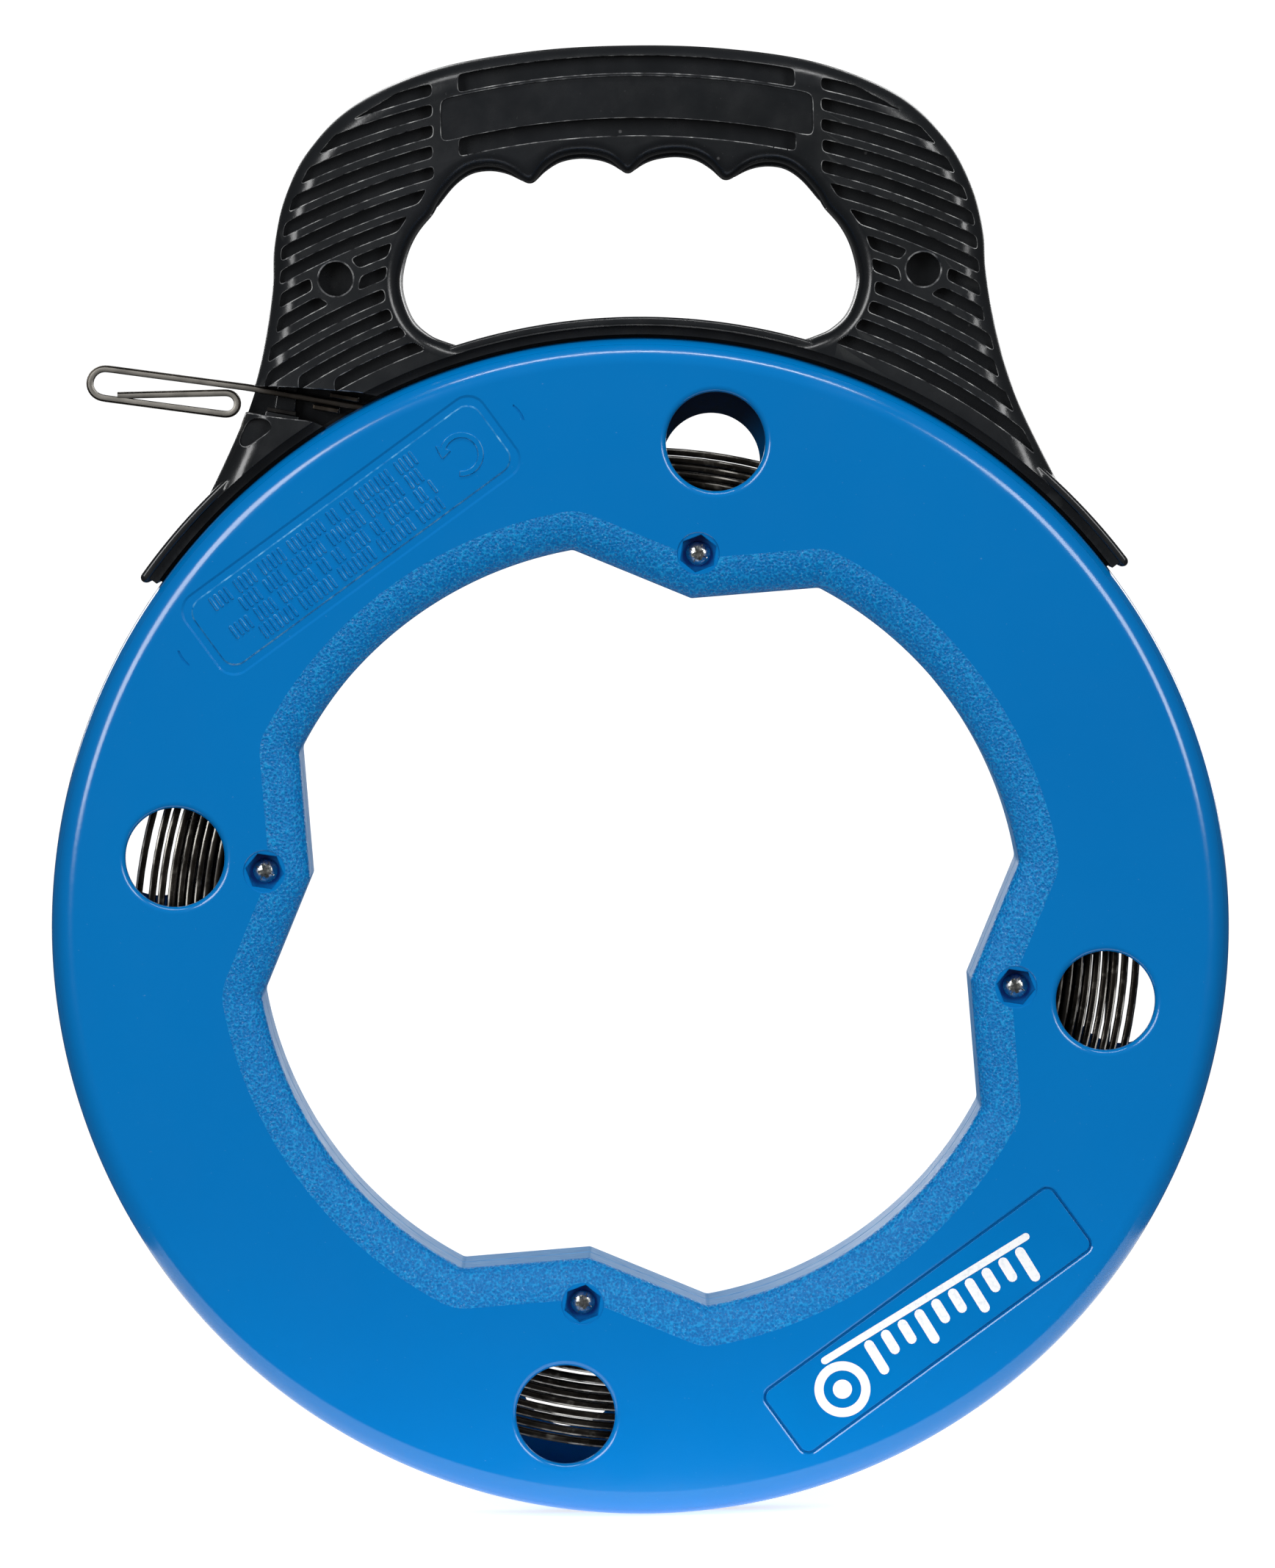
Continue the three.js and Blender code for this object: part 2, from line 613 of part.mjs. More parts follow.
/** The finger bar with its flange, spring pegs and a notch for the brake arm. */
function triggerBar() {
  const cuspLift = 1;              // the cusps between the fingers hide behind the shells
  const underside = scallops(0, TRIGGER_END_X, 165.2).map(([x, z]) => [
    x, x === 0 || Math.abs(x) === SCALLOP_CUSP_X ? z + cuspLift : z,
  ]);
  const bar = polygon([...underside, [-TRIGGER_END_X, TRIGGER_TOP + 1], [TRIGGER_END_X, TRIGGER_TOP + 1]]);
  const flangeTop = TRIGGER_TOP + FLANGE_T;
  const flange = box(-TRIGGER_FLANGE_X, TRIGGER_FLANGE_X, TRIGGER_TOP, flangeTop);
  let body = slab(bar, -TRIGGER_HALF, TRIGGER_HALF)
    .add(slab(flange, -TRIGGER_FLANGE_HALF, TRIGGER_FLANGE_HALF));
  for (const sign of [-1, 1]) {
    body = body.add(peg(sign * SPRING_X, flangeTop - 0.5, 3.5));
  }
  const notch = box(-60, -41, 176.5, 183);
  return body.subtract(slab(notch, ARM_FRONT - 0.3, TRIGGER_FLANGE_HALF + 1));
}

/** A round peg standing up along Z. */
function peg(x, z, height) {
  const geometry = new THREE.CylinderGeometry(1.6, 1.6, height, 10);
  geometry.rotateX(Math.PI / 2);
  geometry.translate(x, 0, z + height / 2);
  return solid(geometry);
}

/** The sleeve that a return spring's turns fill, standing up along Z. */
function springSleeve(x) {
  const z = TRIGGER_TOP + FLANGE_T + 0.2;
  const height = TRIGGER_ROOF - 0.2 - z;
  const inner = SPRING_R - 1.1;
  const profile = [[inner, 0], [SPRING_R, 0], [SPRING_R, height], [inner, height], [inner, 0]];
  const geometry = new THREE.LatheGeometry(profile.map(([r, h]) => new THREE.Vector2(r, h)), 16);
  geometry.rotateX(Math.PI / 2);
  geometry.translate(x, 0, z);
  return solid(geometry);
}

// ---------------------------------------------------------------- assembly

const reel = new THREE.Group();
reel.position.z = CASE_R;

const turning = new THREE.Group();
const half = caseHalf();
turning.add(meshOf('front_case_half', half, plastic(BLUE)));
const rearHalf = meshOf('rear_case_half', half, plastic(BLUE));
const [flipX, flipZ] = polar(1, PATTERN - QUARTER / 2);
rearHalf.quaternion.setFromAxisAngle(new THREE.Vector3(flipX, 0, flipZ), Math.PI);
turning.add(rearHalf);
turning.add(meshOf('blank_label', blankLabel(), plastic(LABEL_BLUE)));
for (let k = 0; k < 4; k += 1) {
  const angle = PATTERN + k * QUARTER;
  const [x, z] = polar(SCREW_RING_R, angle);
  const headY = -POCKET_FLOOR - FIT_GAP;
  const nutY = POCKET_FLOOR + FIT_GAP;
  turning.add(meshOf(`case_screw_${k + 1}`, panScrew(x, z, headY, nutY + NUT_H + 1), metal(ZINC)));
  turning.add(meshOf(`case_nut_${k + 1}`, hexNut(x, z, nutY, angle), metal(ZINC)));
}
turning.add(meshOf('tape_coil', tapeCoil(), metal(TAPE_STEEL)));
const [postX, postZ] = polar(POST.distance, POST.angle);
const postEnd = CASE_HALF - WALL - 0.3;
turning.add(meshOf('tape_anchor_post', slab(circle(postX, postZ, POST.r), -postEnd, postEnd), metal(ZINC)));

const grip = new THREE.Group();
grip.add(meshOf('handle_front_half', gripHalf(-1), plastic(BLACK)));
grip.add(meshOf('handle_rear_half', gripHalf(1), plastic(BLACK)));
[['left', -1], ['right', 1]].forEach(([name, sign]) => {
  const screw = panScrew(sign * GRIP_SCREW.x, GRIP_SCREW.z, GRIP_SCREW.floor + FIT_GAP, -6.5);
  grip.add(meshOf(`handle_screw_${name}`, screw, metal(ZINC)));
});
guidePlates(0).forEach((plate, i) => {
  const name = i === 0 ? 'upper_guide_plate' : 'lower_guide_plate';
  grip.add(meshOf(name, slab(plate, -GUIDE_HALF, GUIDE_HALF), metal(ZINC)));
});

const trigger = new THREE.Group();
trigger.add(meshOf('squeeze_trigger', triggerBar(), plastic(BLACK)));
trigger.add(meshOf('brake_arm', brakeArm(), plastic(BLACK)));
trigger.add(meshOf('brake_pad', brakePad(), metal(ZINC)));
[['left', -1], ['right', 1]].forEach(([name, sign]) => {
  grip.add(meshOf(`return_spring_${name}`, springSleeve(sign * SPRING_X), metal(ZINC)));
});

const leader = slab(strip(leaderLine(), TAPE_T), -TAPE_W / 2, TAPE_W / 2);
reel.add(turning, grip, trigger, meshOf('tape_leader', leader, metal(TAPE_STEEL)));

const model = new THREE.Group();
model.add(reel);

export default model;
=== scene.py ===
"""Fish tape reel: the looks of every piece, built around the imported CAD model.

Shapes are drawn in millimetres about the reel's own axis: x to the right, y to the rear, z up.
place() turns them into metres in the model's frame.
"""

import math
import random

import bmesh
import bpy
import numpy as np
from mathutils import Matrix, Vector


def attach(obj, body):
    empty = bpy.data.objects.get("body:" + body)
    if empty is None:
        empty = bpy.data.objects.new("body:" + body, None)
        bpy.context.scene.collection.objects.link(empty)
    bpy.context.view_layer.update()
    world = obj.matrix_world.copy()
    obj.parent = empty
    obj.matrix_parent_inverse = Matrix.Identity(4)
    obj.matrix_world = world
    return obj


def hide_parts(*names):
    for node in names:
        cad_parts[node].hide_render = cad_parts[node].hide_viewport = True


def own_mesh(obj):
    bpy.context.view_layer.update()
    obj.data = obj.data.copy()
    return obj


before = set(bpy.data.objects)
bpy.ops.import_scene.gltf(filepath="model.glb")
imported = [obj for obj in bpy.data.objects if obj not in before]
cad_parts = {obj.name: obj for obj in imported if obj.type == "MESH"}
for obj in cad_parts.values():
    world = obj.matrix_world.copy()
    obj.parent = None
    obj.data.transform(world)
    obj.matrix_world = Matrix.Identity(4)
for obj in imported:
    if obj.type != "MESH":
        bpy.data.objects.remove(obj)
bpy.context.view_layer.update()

MM = 0.001
AXIS_Z = 135.0                    # height of the reel's axis above the floor
DEG = math.pi / 180
QUARTER = math.pi / 2

# Case
CASE_R = 135.0
CASE_HALF = 18.0
SEAM = 0.15
WALL = 2.4
RIM_WALL = 2.6
RIM_SLOT_HALF = 3.5
RIM_DRAFT_Y = 8.0
RIM_DRAFT_R = 134.6
EDGE_W = 5.8
EDGE_D = 6.5
RIM_STEP_IN = 1.35                # a fine step runs round the case, this far inside its outline
RIM_STEP = 0.45
HUB_R = 87.8
TIP_R = 76.3
FLANK = 76.5 * DEG
HUB_ROUND_W = 9.0
HUB_ROUND_D = 4.0
PATTERN = 80.3 * DEG
STOPS = [PATTERN + k * QUARTER for k in range(4)]
WINDOW_R = 11.3
WINDOW_AT = [112.5, 107.4, 112.5, 107.4]
WINDOW_LIP = 1.6
SCREW_RING_R = 86.7
BOSS_R = 5.4
HEX_POCKET_AF = 7.6
POCKET_FLOOR = 12.0
BORE_R = 1.95
LABEL_LENGTH = 82.0
LABEL_HEIGHT = 18.0
LABEL_RECESS = 0.8
LABEL_AT = 111.0
TILT = PATTERN - QUARTER / 2      # the label's and the panel's long axis; also the flip axis

# Fasteners
SHANK_R = 1.7
HEAD_R = 2.8
HEAD_H = 2.2
NUT_AF = 7.0
NUT_H = 2.6
FIT_GAP = 0.2
CROSS_TURN = 0.3
THREAD_PITCH = 0.7
THREAD_DEPTH = 0.16


# ---------------------------------------------------------------- placing and joining

def place(points):
    """Millimetres about the reel's axis to metres in the model's frame."""
    out = np.asarray(points, float) * MM
    out[:, 2] += AXIS_Z * MM
    return out


def new_object(name, vertices, faces):
    mesh = bpy.data.meshes.new(name)
    mesh.from_pydata([tuple(v) for v in vertices], [], [tuple(f) for f in faces])
    mesh.validate()
    obj = bpy.data.objects.new(name, mesh)
    bpy.context.scene.collection.objects.link(obj)
    return obj


def face_out(obj):
    bm = bmesh.new()
    bm.from_mesh(obj.data)
    bmesh.ops.recalc_face_normals(bm, faces=bm.faces)
    bm.to_mesh(obj.data)
    bm.free()
    return obj


def joined(name, parts):
    """One object from several, in their own places."""
    vertices, faces = [], []
    for part in parts:
        start = len(vertices)
        vertices += [v.co[:] for v in part.data.vertices]
        faces += [[start + i for i in p.vertices] for p in part.data.polygons]
        bpy.data.objects.remove(part)
    return new_object(name, vertices, faces)


def combine(target, tool, operation):
    """Boolean with another object, which is used up."""
    modifier = target.modifiers.new("combine", "BOOLEAN")
    modifier.operation = operation
    modifier.object = tool
    modifier.solver = "MANIFOLD"
    graph = bpy.context.evaluated_depsgraph_get()
    made = bpy.data.meshes.new_from_object(target.evaluated_get(graph))
    target.modifiers.clear()
    target.data = made
    bpy.data.objects.remove(tool)
    return target


def finish_mesh(obj, sharp=32 * DEG):
    """Smooth shading that stays crisp at edges and flat on the flats."""
    bm = bmesh.new()
    bm.from_mesh(obj.data)
    bmesh.ops.remove_doubles(bm, verts=bm.verts, dist=2e-6)
    bmesh.ops.dissolve_degenerate(bm, edges=bm.edges, dist=2e-6)
    for edge in bm.edges:
        edge.smooth = len(edge.link_faces) == 2 and edge.calc_face_angle(0) < sharp
    for face in bm.faces:
        face.smooth = True
    bm.to_mesh(obj.data)
    bm.free()
    weighted = obj.modifiers.new("flats", "WEIGHTED_NORMAL")
    weighted.keep_sharp = True
    weighted.weight = 100
    return obj


# ---------------------------------------------------------------- outlines

def polar(r, angle):
    return np.array([r * math.cos(angle), r * math.sin(angle)])


def arc(centre, r, start, end, steps):
    angles = np.linspace(start, end, steps + 1)
    return np.stack([centre[0] + r * np.cos(angles), centre[1] + r * np.sin(angles)], 1)


def circle(centre, r, steps=64):
    return arc(centre, r, 0, 2 * math.pi, steps)[:-1]


def rectangle(centre, length, height, corner, turn, steps=8):
    """Rectangle with round corners."""
    a, b = length / 2 - corner, height / 2 - corner
    corners = [(a, b), (-a, b), (-a, -b), (a, -b)]
    points = np.concatenate([
        arc(c, corner, i * QUARTER, (i + 1) * QUARTER, steps) for i, c in enumerate(corners)
    ])
    return turned_by(points, turn) + centre


def turned_by(points, turn):
    c, s = math.cos(turn), math.sin(turn)
    return points @ np.array([[c, s], [-s, c]])


def hexagon(centre, across_flats, turn):
    r = across_flats / math.sqrt(3)
    return np.array([centre + polar(r, turn + i * math.pi / 3) for i in range(6)])


def lobed(offset):
    """The central opening pushed outwards: four arcs between four finger stops, all corners rounded."""
    inner_round, tip_round = 2.2, 1.6
    radius = HUB_R + offset
    points = []
    for stop in STOPS:
        tip = polar(TIP_R, stop)
        # The fillet that joins the flank on each side of the tip to the opening, and its centre's angle.
        quarter = []
        for side in (-1, 1):
            along = polar(1, stop + side * FLANK)
            away = polar(1, stop + side * (FLANK + QUARTER))
            start = tip + inner_round * away
            b = start @ along
            c = start @ start - (HUB_R - inner_round) ** 2
            centre = start + (-b + math.sqrt(b * b - c)) * along
            on_line = math.atan2(*(-away)[::-1])
            on_circle = math.atan2(centre[1], centre[0])
            turn = (on_circle - on_line + math.pi) % (2 * math.pi) - math.pi
            fillet = arc(centre, inner_round + offset, on_line, on_line + turn, 8)
            quarter.append((fillet, on_circle))
        tip_centre = polar(TIP_R + tip_round / math.sin(FLANK), stop)
        r = max(tip_round - offset, 0.05)
        shift = polar((r + offset - tip_round) / math.sin(FLANK), stop)
        spread = QUARTER - FLANK
        back = stop + math.pi
        tip_arc = arc(tip_centre + shift, r, back + spread, back - spread, 8)
        left, right = quarter
        points += [left[0][::-1], tip_arc, right[0]]
        following = STOPS[(STOPS.index(stop) + 1) % 4]
        start_angle = right[1]
        span = (following - stop) % (2 * math.pi) - 2 * ((start_angle - stop) % (2 * math.pi))
        points.append(arc((0, 0), radius, start_angle, start_angle + span, 48)[1:-1])
    return np.concatenate(points)


# ---------------------------------------------------------------- solids

def with_y(outline, y):
    heights = np.full(len(outline), y) if np.isscalar(y) else np.asarray(y)
    return np.stack([outline[:, 0], heights, outline[:, 1]], 1)


def loft(name, rings):
    """A closed solid through rings of equally many points, with flat ends."""
    count = len(rings[0])
    vertices = place(np.concatenate(rings))
    faces = []
    for k in range(len(rings) - 1):
        low, high = k * count, (k + 1) * count
        for i in range(count):
            j = (i + 1) % count
            faces.append((low + i, low + j, high + j, high + i))
    faces.append(tuple(range(count))[::-1])
    faces.append(tuple(range((len(rings) - 1) * count, len(rings) * count)))
    return face_out(new_object(name, vertices, faces))


def stacked(name, *levels):
    """A closed solid through levels, each an outline and its y."""
    return loft(name, [with_y(outline, y) for outline, y in levels])


def slab(name, outline, y0, y1):
    return stacked(name, (outline, y0), (outline, y1))


def turned(name, profile, steps=96, centre=(0, 0)):
    """A solid of revolution about Y. The profile is [radius, y] and closes on itself or on the axis."""
    profile = [tuple(p) for p in profile]
    on_axis = profile[0][0] == 0 and profile[-1][0] == 0
    rings = profile[1:-1] if on_axis else profile
    vertices, faces = [], []
    for r, y in rings:
        for i in range(steps):
            x, z = polar(r, 2 * math.pi * i / steps)
            vertices.append((x + centre[0], y, z + centre[1]))
    n = len(rings)
    for k in range(n if not on_axis else n - 1):
        a, b = k * steps, ((k + 1) % n) * steps
        for i in range(steps):
            j = (i + 1) % steps
            faces.append((a + i, a + j, b + j, b + i))
    if on_axis:
        for (r, y), first in ((profile[0], 0), (profile[-1], (n - 1) * steps)):
            vertices.append((centre[0], y, centre[1]))
            tip = len(vertices) - 1
            for i in range(steps):
                faces.append((first + i, first + (i + 1) % steps, tip))
    return face_out(new_object(name, place(vertices), faces))


# ---------------------------------------------------------------- case

def quarter_round(across, deep, steps):
    """[offset, depth] down a rounded edge: from the face, at full offset, to the wall."""
    angles = np.linspace(QUARTER, 0, steps + 1)
    return [(across * (1 - math.cos(t)), deep * (1 - math.sin(t))) for t in angles]


def rim_edge(t, lower):
    """A point of the case's rounded edge: t is 0 on the face and a quarter turn on the rim."""
    y = -CASE_HALF + EDGE_D * (1 - math.cos(t))
    return (RIM_DRAFT_R - EDGE_W + EDGE_W * math.sin(t), y + lower)


def case_shell():
    """The round moulding before its openings are cut."""
    step_at = math.asin(1 - RIM_STEP_IN / EDGE_W)
    edge = [rim_edge(t, 0) for t in np.linspace(0, step_at, 13)]
    edge.append(rim_edge(step_at + 0.02, RIM_STEP))
    for t in np.linspace(step_at + 0.1, QUARTER, 7):
        edge.append(rim_edge(t, RIM_STEP * (QUARTER - t) / (QUARTER - step_at)))
    inside = CASE_HALF - WALL
    inner = RIM_DRAFT_R - RIM_WALL
    on_flat, bend_r, lip = 60, 4, 0.4
    bend = [
        (inner - bend_r + bend_r * math.sin(t), -inside + bend_r - bend_r * math.cos(t))
        for t in np.linspace(QUARTER, 0, 7)
    ]
    profile = [
        (0, -CASE_HALF), (on_flat, -CASE_HALF), *edge,
        (CASE_R, -RIM_SLOT_HALF - lip), (CASE_R - lip * 0.3, -RIM_SLOT_HALF - lip * 0.3),
        (CASE_R - lip, -RIM_SLOT_HALF),
        (CASE_R - RIM_WALL, -RIM_SLOT_HALF), (inner, -RIM_DRAFT_Y), *bend,
        (on_flat, -inside), (0, -inside),
    ]
    return turned("shell", profile, steps=360)


def case_half():
    """One moulding of the case, as the front half."""
    inside = CASE_HALF - WALL
    body = case_shell()
    foot, wall = lobed(WALL + 1), lobed(WALL)
    hub = stacked("hub", (foot, -inside - 1), (foot, -inside + 1), (wall, -inside + 2), (wall, -SEAM))
    combine(body, hub, "UNION")
    bosses = [slab("boss", circle(polar(SCREW_RING_R, s), BOSS_R), -inside - 1, -SEAM) for s in STOPS]
    for boss in bosses:
        combine(body, boss, "UNION")
    for part in panel_trough():
        combine(body, part, "DIFFERENCE")
    combine(body, joined("reliefs", raised_panel()), "UNION")

    rounding = [
        (lobed(offset), -CASE_HALF + depth) for offset, depth in quarter_round(HUB_ROUND_W, HUB_ROUND_D, 14)
    ]
    seam_edge = [(lobed(0), -SEAM - 0.5), (lobed(0.35), -SEAM), (lobed(0.35), 2)]
    opening = stacked("opening", (lobed(HUB_ROUND_W), -CASE_HALF - 2), *rounding, *seam_edge)
    combine(body, opening, "DIFFERENCE")
    holes = []
    for stop, distance in zip(STOPS, WINDOW_AT):
        holes.append(window_hole(polar(distance, stop)))
        holes.append(screw_pocket(polar(SCREW_RING_R, stop), stop))
    combine(body, joined("holes", holes), "DIFFERENCE")
    return combine(body, label_recess(), "DIFFERENCE")


def window_hole(at):
    """A round window through the face, with a rounded lip."""
    lip = [
        (circle(at, WINDOW_R + offset, 96), -CASE_HALF + depth)
        for offset, depth in quarter_round(WINDOW_LIP, 1.3, 7)
    ]
    top = (circle(at, WINDOW_R + WINDOW_LIP, 96), -CASE_HALF - 2)
    return stacked("window", top, *lip, (circle(at, WINDOW_R, 96), -CASE_HALF + WALL + 1))


def hexagon_with_sides(at, across_flats, turn, steps=8):
    """A hexagon with more points along its sides."""
    corners = hexagon(at, across_flats, turn)
    sides = np.roll(corners, -1, 0) - corners
    return np.concatenate([
        corner + np.outer(np.arange(steps), side) / steps for corner, side in zip(corners, sides)
    ])


def screw_pocket(at, turn):
    """Hexagonal pocket in a shallow round step, with the bore through its floor."""
    step_r, step_depth, chamfer = 4.9, 0.35, 0.35
    mouth = hexagon_with_sides(at, HEX_POCKET_AF + chamfer, turn)
    wall = hexagon_with_sides(at, HEX_POCKET_AF, turn)
    angles = [math.atan2(*(p - at)[::-1]) for p in wall]
    step, step_foot, bore = [
        np.array([at + polar(r, a) for a in angles]) for r in (step_r, step_r - 0.15, BORE_R)
    ]
    floor_y = -CASE_HALF + step_depth
    return stacked(
        "pocket", (step, -CASE_HALF - 1), (step, -CASE_HALF + step_depth * 0.6), (step_foot, floor_y),
        (mouth, floor_y + 0.01), (wall, floor_y + 0.2), (wall, -POCKET_FLOOR),
        (bore, -POCKET_FLOOR + 0.01), (bore, 2),
    )


def label_recess():
    """The recess for the label, with a soft edge."""
    levels = ((0.4, -1), (0.4, 0), (0.12, 0.12), (0, 0.4), (0, LABEL_RECESS))
    return stacked("recess", *[
        (rectangle(LABEL_CENTRE, LABEL_LENGTH + 2 * grow, LABEL_HEIGHT + 2 * grow, 2.5 + grow, TILT),
         -CASE_HALF + depth)
        for grow, depth in levels
    ])


PANEL_AT = polar(111.4, PATTERN + 0.5 * QUARTER)
TROUGH = ((84.6, 21.8, 4.6), (83.6, 20.8, 4.3))   # length, height and corner at the face and at the floor
ISLAND = ((80.0, 17.2, 3.4), (80.9, 18.1, 3.7))   # the same for the panel that stands inside it
TROUGH_DEPTH = 0.3
RELIEF = 0.36
RELIEF_EDGE = 0.16
MARK_W = 0.42
MARK_TALL = 2.8
MARK_PITCH = 1.4


def on_panel(points):
    """Points drawn along and across the panel, in millimetres from its middle."""
    return turned_by(np.asarray(points, float), TILT) + PANEL_AT


def raised(outline):
    """A low relief on the front face, with a soft edge."""
    grown = grown_by(outline, RELIEF_EDGE)
    return stacked("relief", (grown, -CASE_HALF + 0.3), (grown, -CASE_HALF), (outline, -CASE_HALF - RELIEF))


def grown_by(outline, distance):
    """A closed outline, anticlockwise or not, moved outwards along its normals."""
    following = np.roll(outline, -1, 0)
    area = 0.5 * np.sum(outline[:, 0] * following[:, 1] - following[:, 0] * outline[:, 1])
    ahead = following - np.roll(outline, 1, 0)
    ahead /= np.linalg.norm(ahead, axis=1)[:, None]
    outward = np.stack([ahead[:, 1], -ahead[:, 0]], 1) * math.copysign(1, area)
    return outline + outward * distance


def bar(start, end, width):
    """Outline of a stroke with round ends."""
    start, end = np.asarray(start, float), np.asarray(end, float)
    angle = math.atan2(*(end - start)[::-1])
    return np.concatenate([
        arc(end, width / 2, angle - QUARTER, angle + QUARTER, 6),
        arc(start, width / 2, angle + QUARTER, angle + 3 * QUARTER, 6),
    ])


def raised_panel():
    """Four rows of small upright ribs in groups, where the moulding has its lines, and a rewind arrow."""
    draw = random.Random(3)
    parts = []
    for row in range(4):
        middle = 5.9 - row * 3.95
        along, end = (-34.5, 23.0) if row in (0, 2) else (-29.0, 21.0)
        while along < end:
            for _ in range(draw.choice((2, 4, 5, 7))):
                if along < end:
                    rib = bar((along, middle - MARK_TALL / 2), (along, middle + MARK_TALL / 2), MARK_W)
                    parts.append(raised(on_panel(rib)))
                along += MARK_PITCH
            along += MARK_PITCH * 0.9
    return [*parts, rewind_arrow()]


def rewind_arrow():
    """A plain round arrow at the panel's end."""
    centre, r, half = (31.2, 0.0), 4.4, 0.5
    start, end = -130 * DEG, 130 * DEG
    ring = np.concatenate([arc(centre, r + half, start, end, 30), arc(centre, r - half, end, start, 30)])
    tip, barbs = end + 26 * DEG, end - 4 * DEG
    head = np.array([centre + polar(r, tip), centre + polar(r + 1.7, barbs), centre + polar(r - 1.7, barbs)])
    return combine(raised(on_panel(ring)), raised(on_panel(resampled(head, 0.4))), "UNION")


def panel_trough():
    """The shallow trough that frames the panel, and the small crescents past its ends."""
    face = -CASE_HALF
    outer, outer_floor, inner, inner_foot = [rectangle(PANEL_AT, *size, TILT, 12) for size in TROUGH + ISLAND]
    trough = stacked("trough", (outer, face - 1), (outer, face), (outer_floor, face + TROUGH_DEPTH))
    island = stacked("island", (inner, face - 2), (inner, face), (inner_foot, face + 0.4))
    combine(trough, island, "DIFFERENCE")
    marks = []
    for side in (-1, 1):
        turn = math.pi * (side < 0)
        crescent = on_panel(np.concatenate([
            arc((side * 41.4, 0), 6.4, turn - 0.35, turn + 0.35, 10),
            arc((side * 40.6, 0), 6.7, turn + 0.28, turn - 0.28, 10),
        ]))
        marks.append(slab("crescent", crescent, face - 1, face + 0.25))
    return [trough, *marks]


def flipped(points):
    """The half turn that puts the front moulding at the rear, about an axis that lies at TILT."""
    c, s = math.cos(2 * TILT), math.sin(2 * TILT)
    out = np.array(points, float)
    x, z = out[:, 0].copy(), out[:, 2] - AXIS_Z * MM
    out[:, 0] = c * x + s * z
    out[:, 2] = s * x - c * z + AXIS_Z * MM
    out[:, 1] *= -1
    return out


def coordinates(obj):
    flat = np.zeros(len(obj.data.vertices) * 3)
    obj.data.vertices.foreach_get("co", flat)
    return flat.reshape(-1, 3)


def rear_from(front):
    rear = front.copy()
    rear.data = front.data.copy()
    bpy.context.scene.collection.objects.link(rear)
    rear.data.vertices.foreach_set("co", flipped(coordinates(front)).astype(np.float32).ravel())
    rear.data.update()
    return rear


# ---------------------------------------------------------------- fasteners

def screw_head(at, y, out):
    """A domed head with a cross recess and four fine marks between its arms, facing the given way."""
    rim = 0.75
    dome = [
        (HEAD_R * math.cos(t), y + out * (rim + (HEAD_H - rim) * math.sin(t)))
        for t in np.linspace(0, QUARTER, 9)[:-1]
    ]
    profile = [(0, y), (HEAD_R - 0.15, y), (HEAD_R, y + out * 0.15), *dome, (0, y + out * HEAD_H)]
    head = turned("head", profile, steps=64, centre=at)
    deep, above = y + out * (HEAD_H - 1.5), y + out * (HEAD_H + 1)
    for turn in (CROSS_TURN, CROSS_TURN + QUARTER):
        combine(head, cross_arm(at, turn, (1.75, 0.42), deep, above, out), "DIFFERENCE")
    marks = [
        cross_arm(at, CROSS_TURN + (k + 0.5) * QUARTER, (0.55, 0.12), y + out, y + out * 3, out, 1.9)
        for k in range(4)
    ]
    return combine(head, joined("marks", marks), "DIFFERENCE")


def cross_arm(at, turn, half_size, deep, high, out, shift=0.0):
    """One arm of a cross recess, tapering into the head."""
    centre = np.array(at) + polar(shift, turn)
    length, width = half_size
    levels = []
    for share, y in ((0.45, deep), (1.0, deep + out * 1.3), (1.0, high)):
        a, b = length * share, width * (0.6 + 0.4 * share)
        levels.append((turned_by(box_outline(-a, a, -b, b), turn) + centre, y))
    return stacked("arm", *levels)


def screw(name, at, y, out, end):
    """Head, shank with a rolled thread, and a chamfered end."""
    per_turn, steps = 8, 28
    angles = np.linspace(0, 2 * math.pi, steps, endpoint=False)
    levels = []
    for k in range(int(abs(end - y) / THREAD_PITCH * per_turn) + 1):
        height = y - out * k * THREAD_PITCH / per_turn
        near_end = min(1.0, (abs(end - height) / 1.2) ** 0.5)
        wave = np.cos(angles - 2 * math.pi * k / per_turn)
        r = (SHANK_R - THREAD_DEPTH + THREAD_DEPTH * wave) * max(near_end, 0.45)
        levels.append((at + np.stack([r * np.cos(angles), r * np.sin(angles)], 1), height))
    return joined(name, [screw_head(at, y, out), stacked("shank", *levels)])


def nut(name, at, y, turn):
    """A hexagonal nut with chamfered corners and a threaded-size bore."""
    body = slab(name, hexagon(at, NUT_AF, turn), y, y + NUT_H)
    face_r, widest, high = NUT_AF / 2 - 0.1, NUT_AF / 2 + 0.62, y + NUT_H
    cone = turned("cone", [
        (0, y - 1), (face_r - 1.7, y - 1), (widest, y + 0.35), (widest, high - 0.35),
        (face_r, high + 0.02), (face_r - 1.7, high + 1), (0, high + 1),
    ], steps=64, centre=at)
    combine(body, cone, "INTERSECT")
    mouth = BORE_R + 0.3
    bore = turned("bore", [
        (0, y - 0.5), (mouth, y - 0.5), (mouth, y), (BORE_R, y + 0.3), (BORE_R, high - 0.3),
        (mouth, high), (mouth, high + 0.5), (0, high + 0.5),
    ], steps=48, centre=at)
    return combine(body, bore, "DIFFERENCE")


# ---------------------------------------------------------------- tape

TAPE_T = 1.6
TAPE_W = 3.2
LEADER_R = 105.8
LEADER_ANGLE = 79 * DEG
LEADER_START = 72 * DEG           # a start further back would cut the coil when the tape slides out
EXIT_X = -88.0
TAPE_CORNER = 0.45
SECTION = 12                      # points round the tape's section
EDGE_FACETS = (0, 3, 6, 9)        # its facets beside the broad sides
OUTER_CORNERS = (6, 10)           # its corner facets that face out of the coil, front and rear


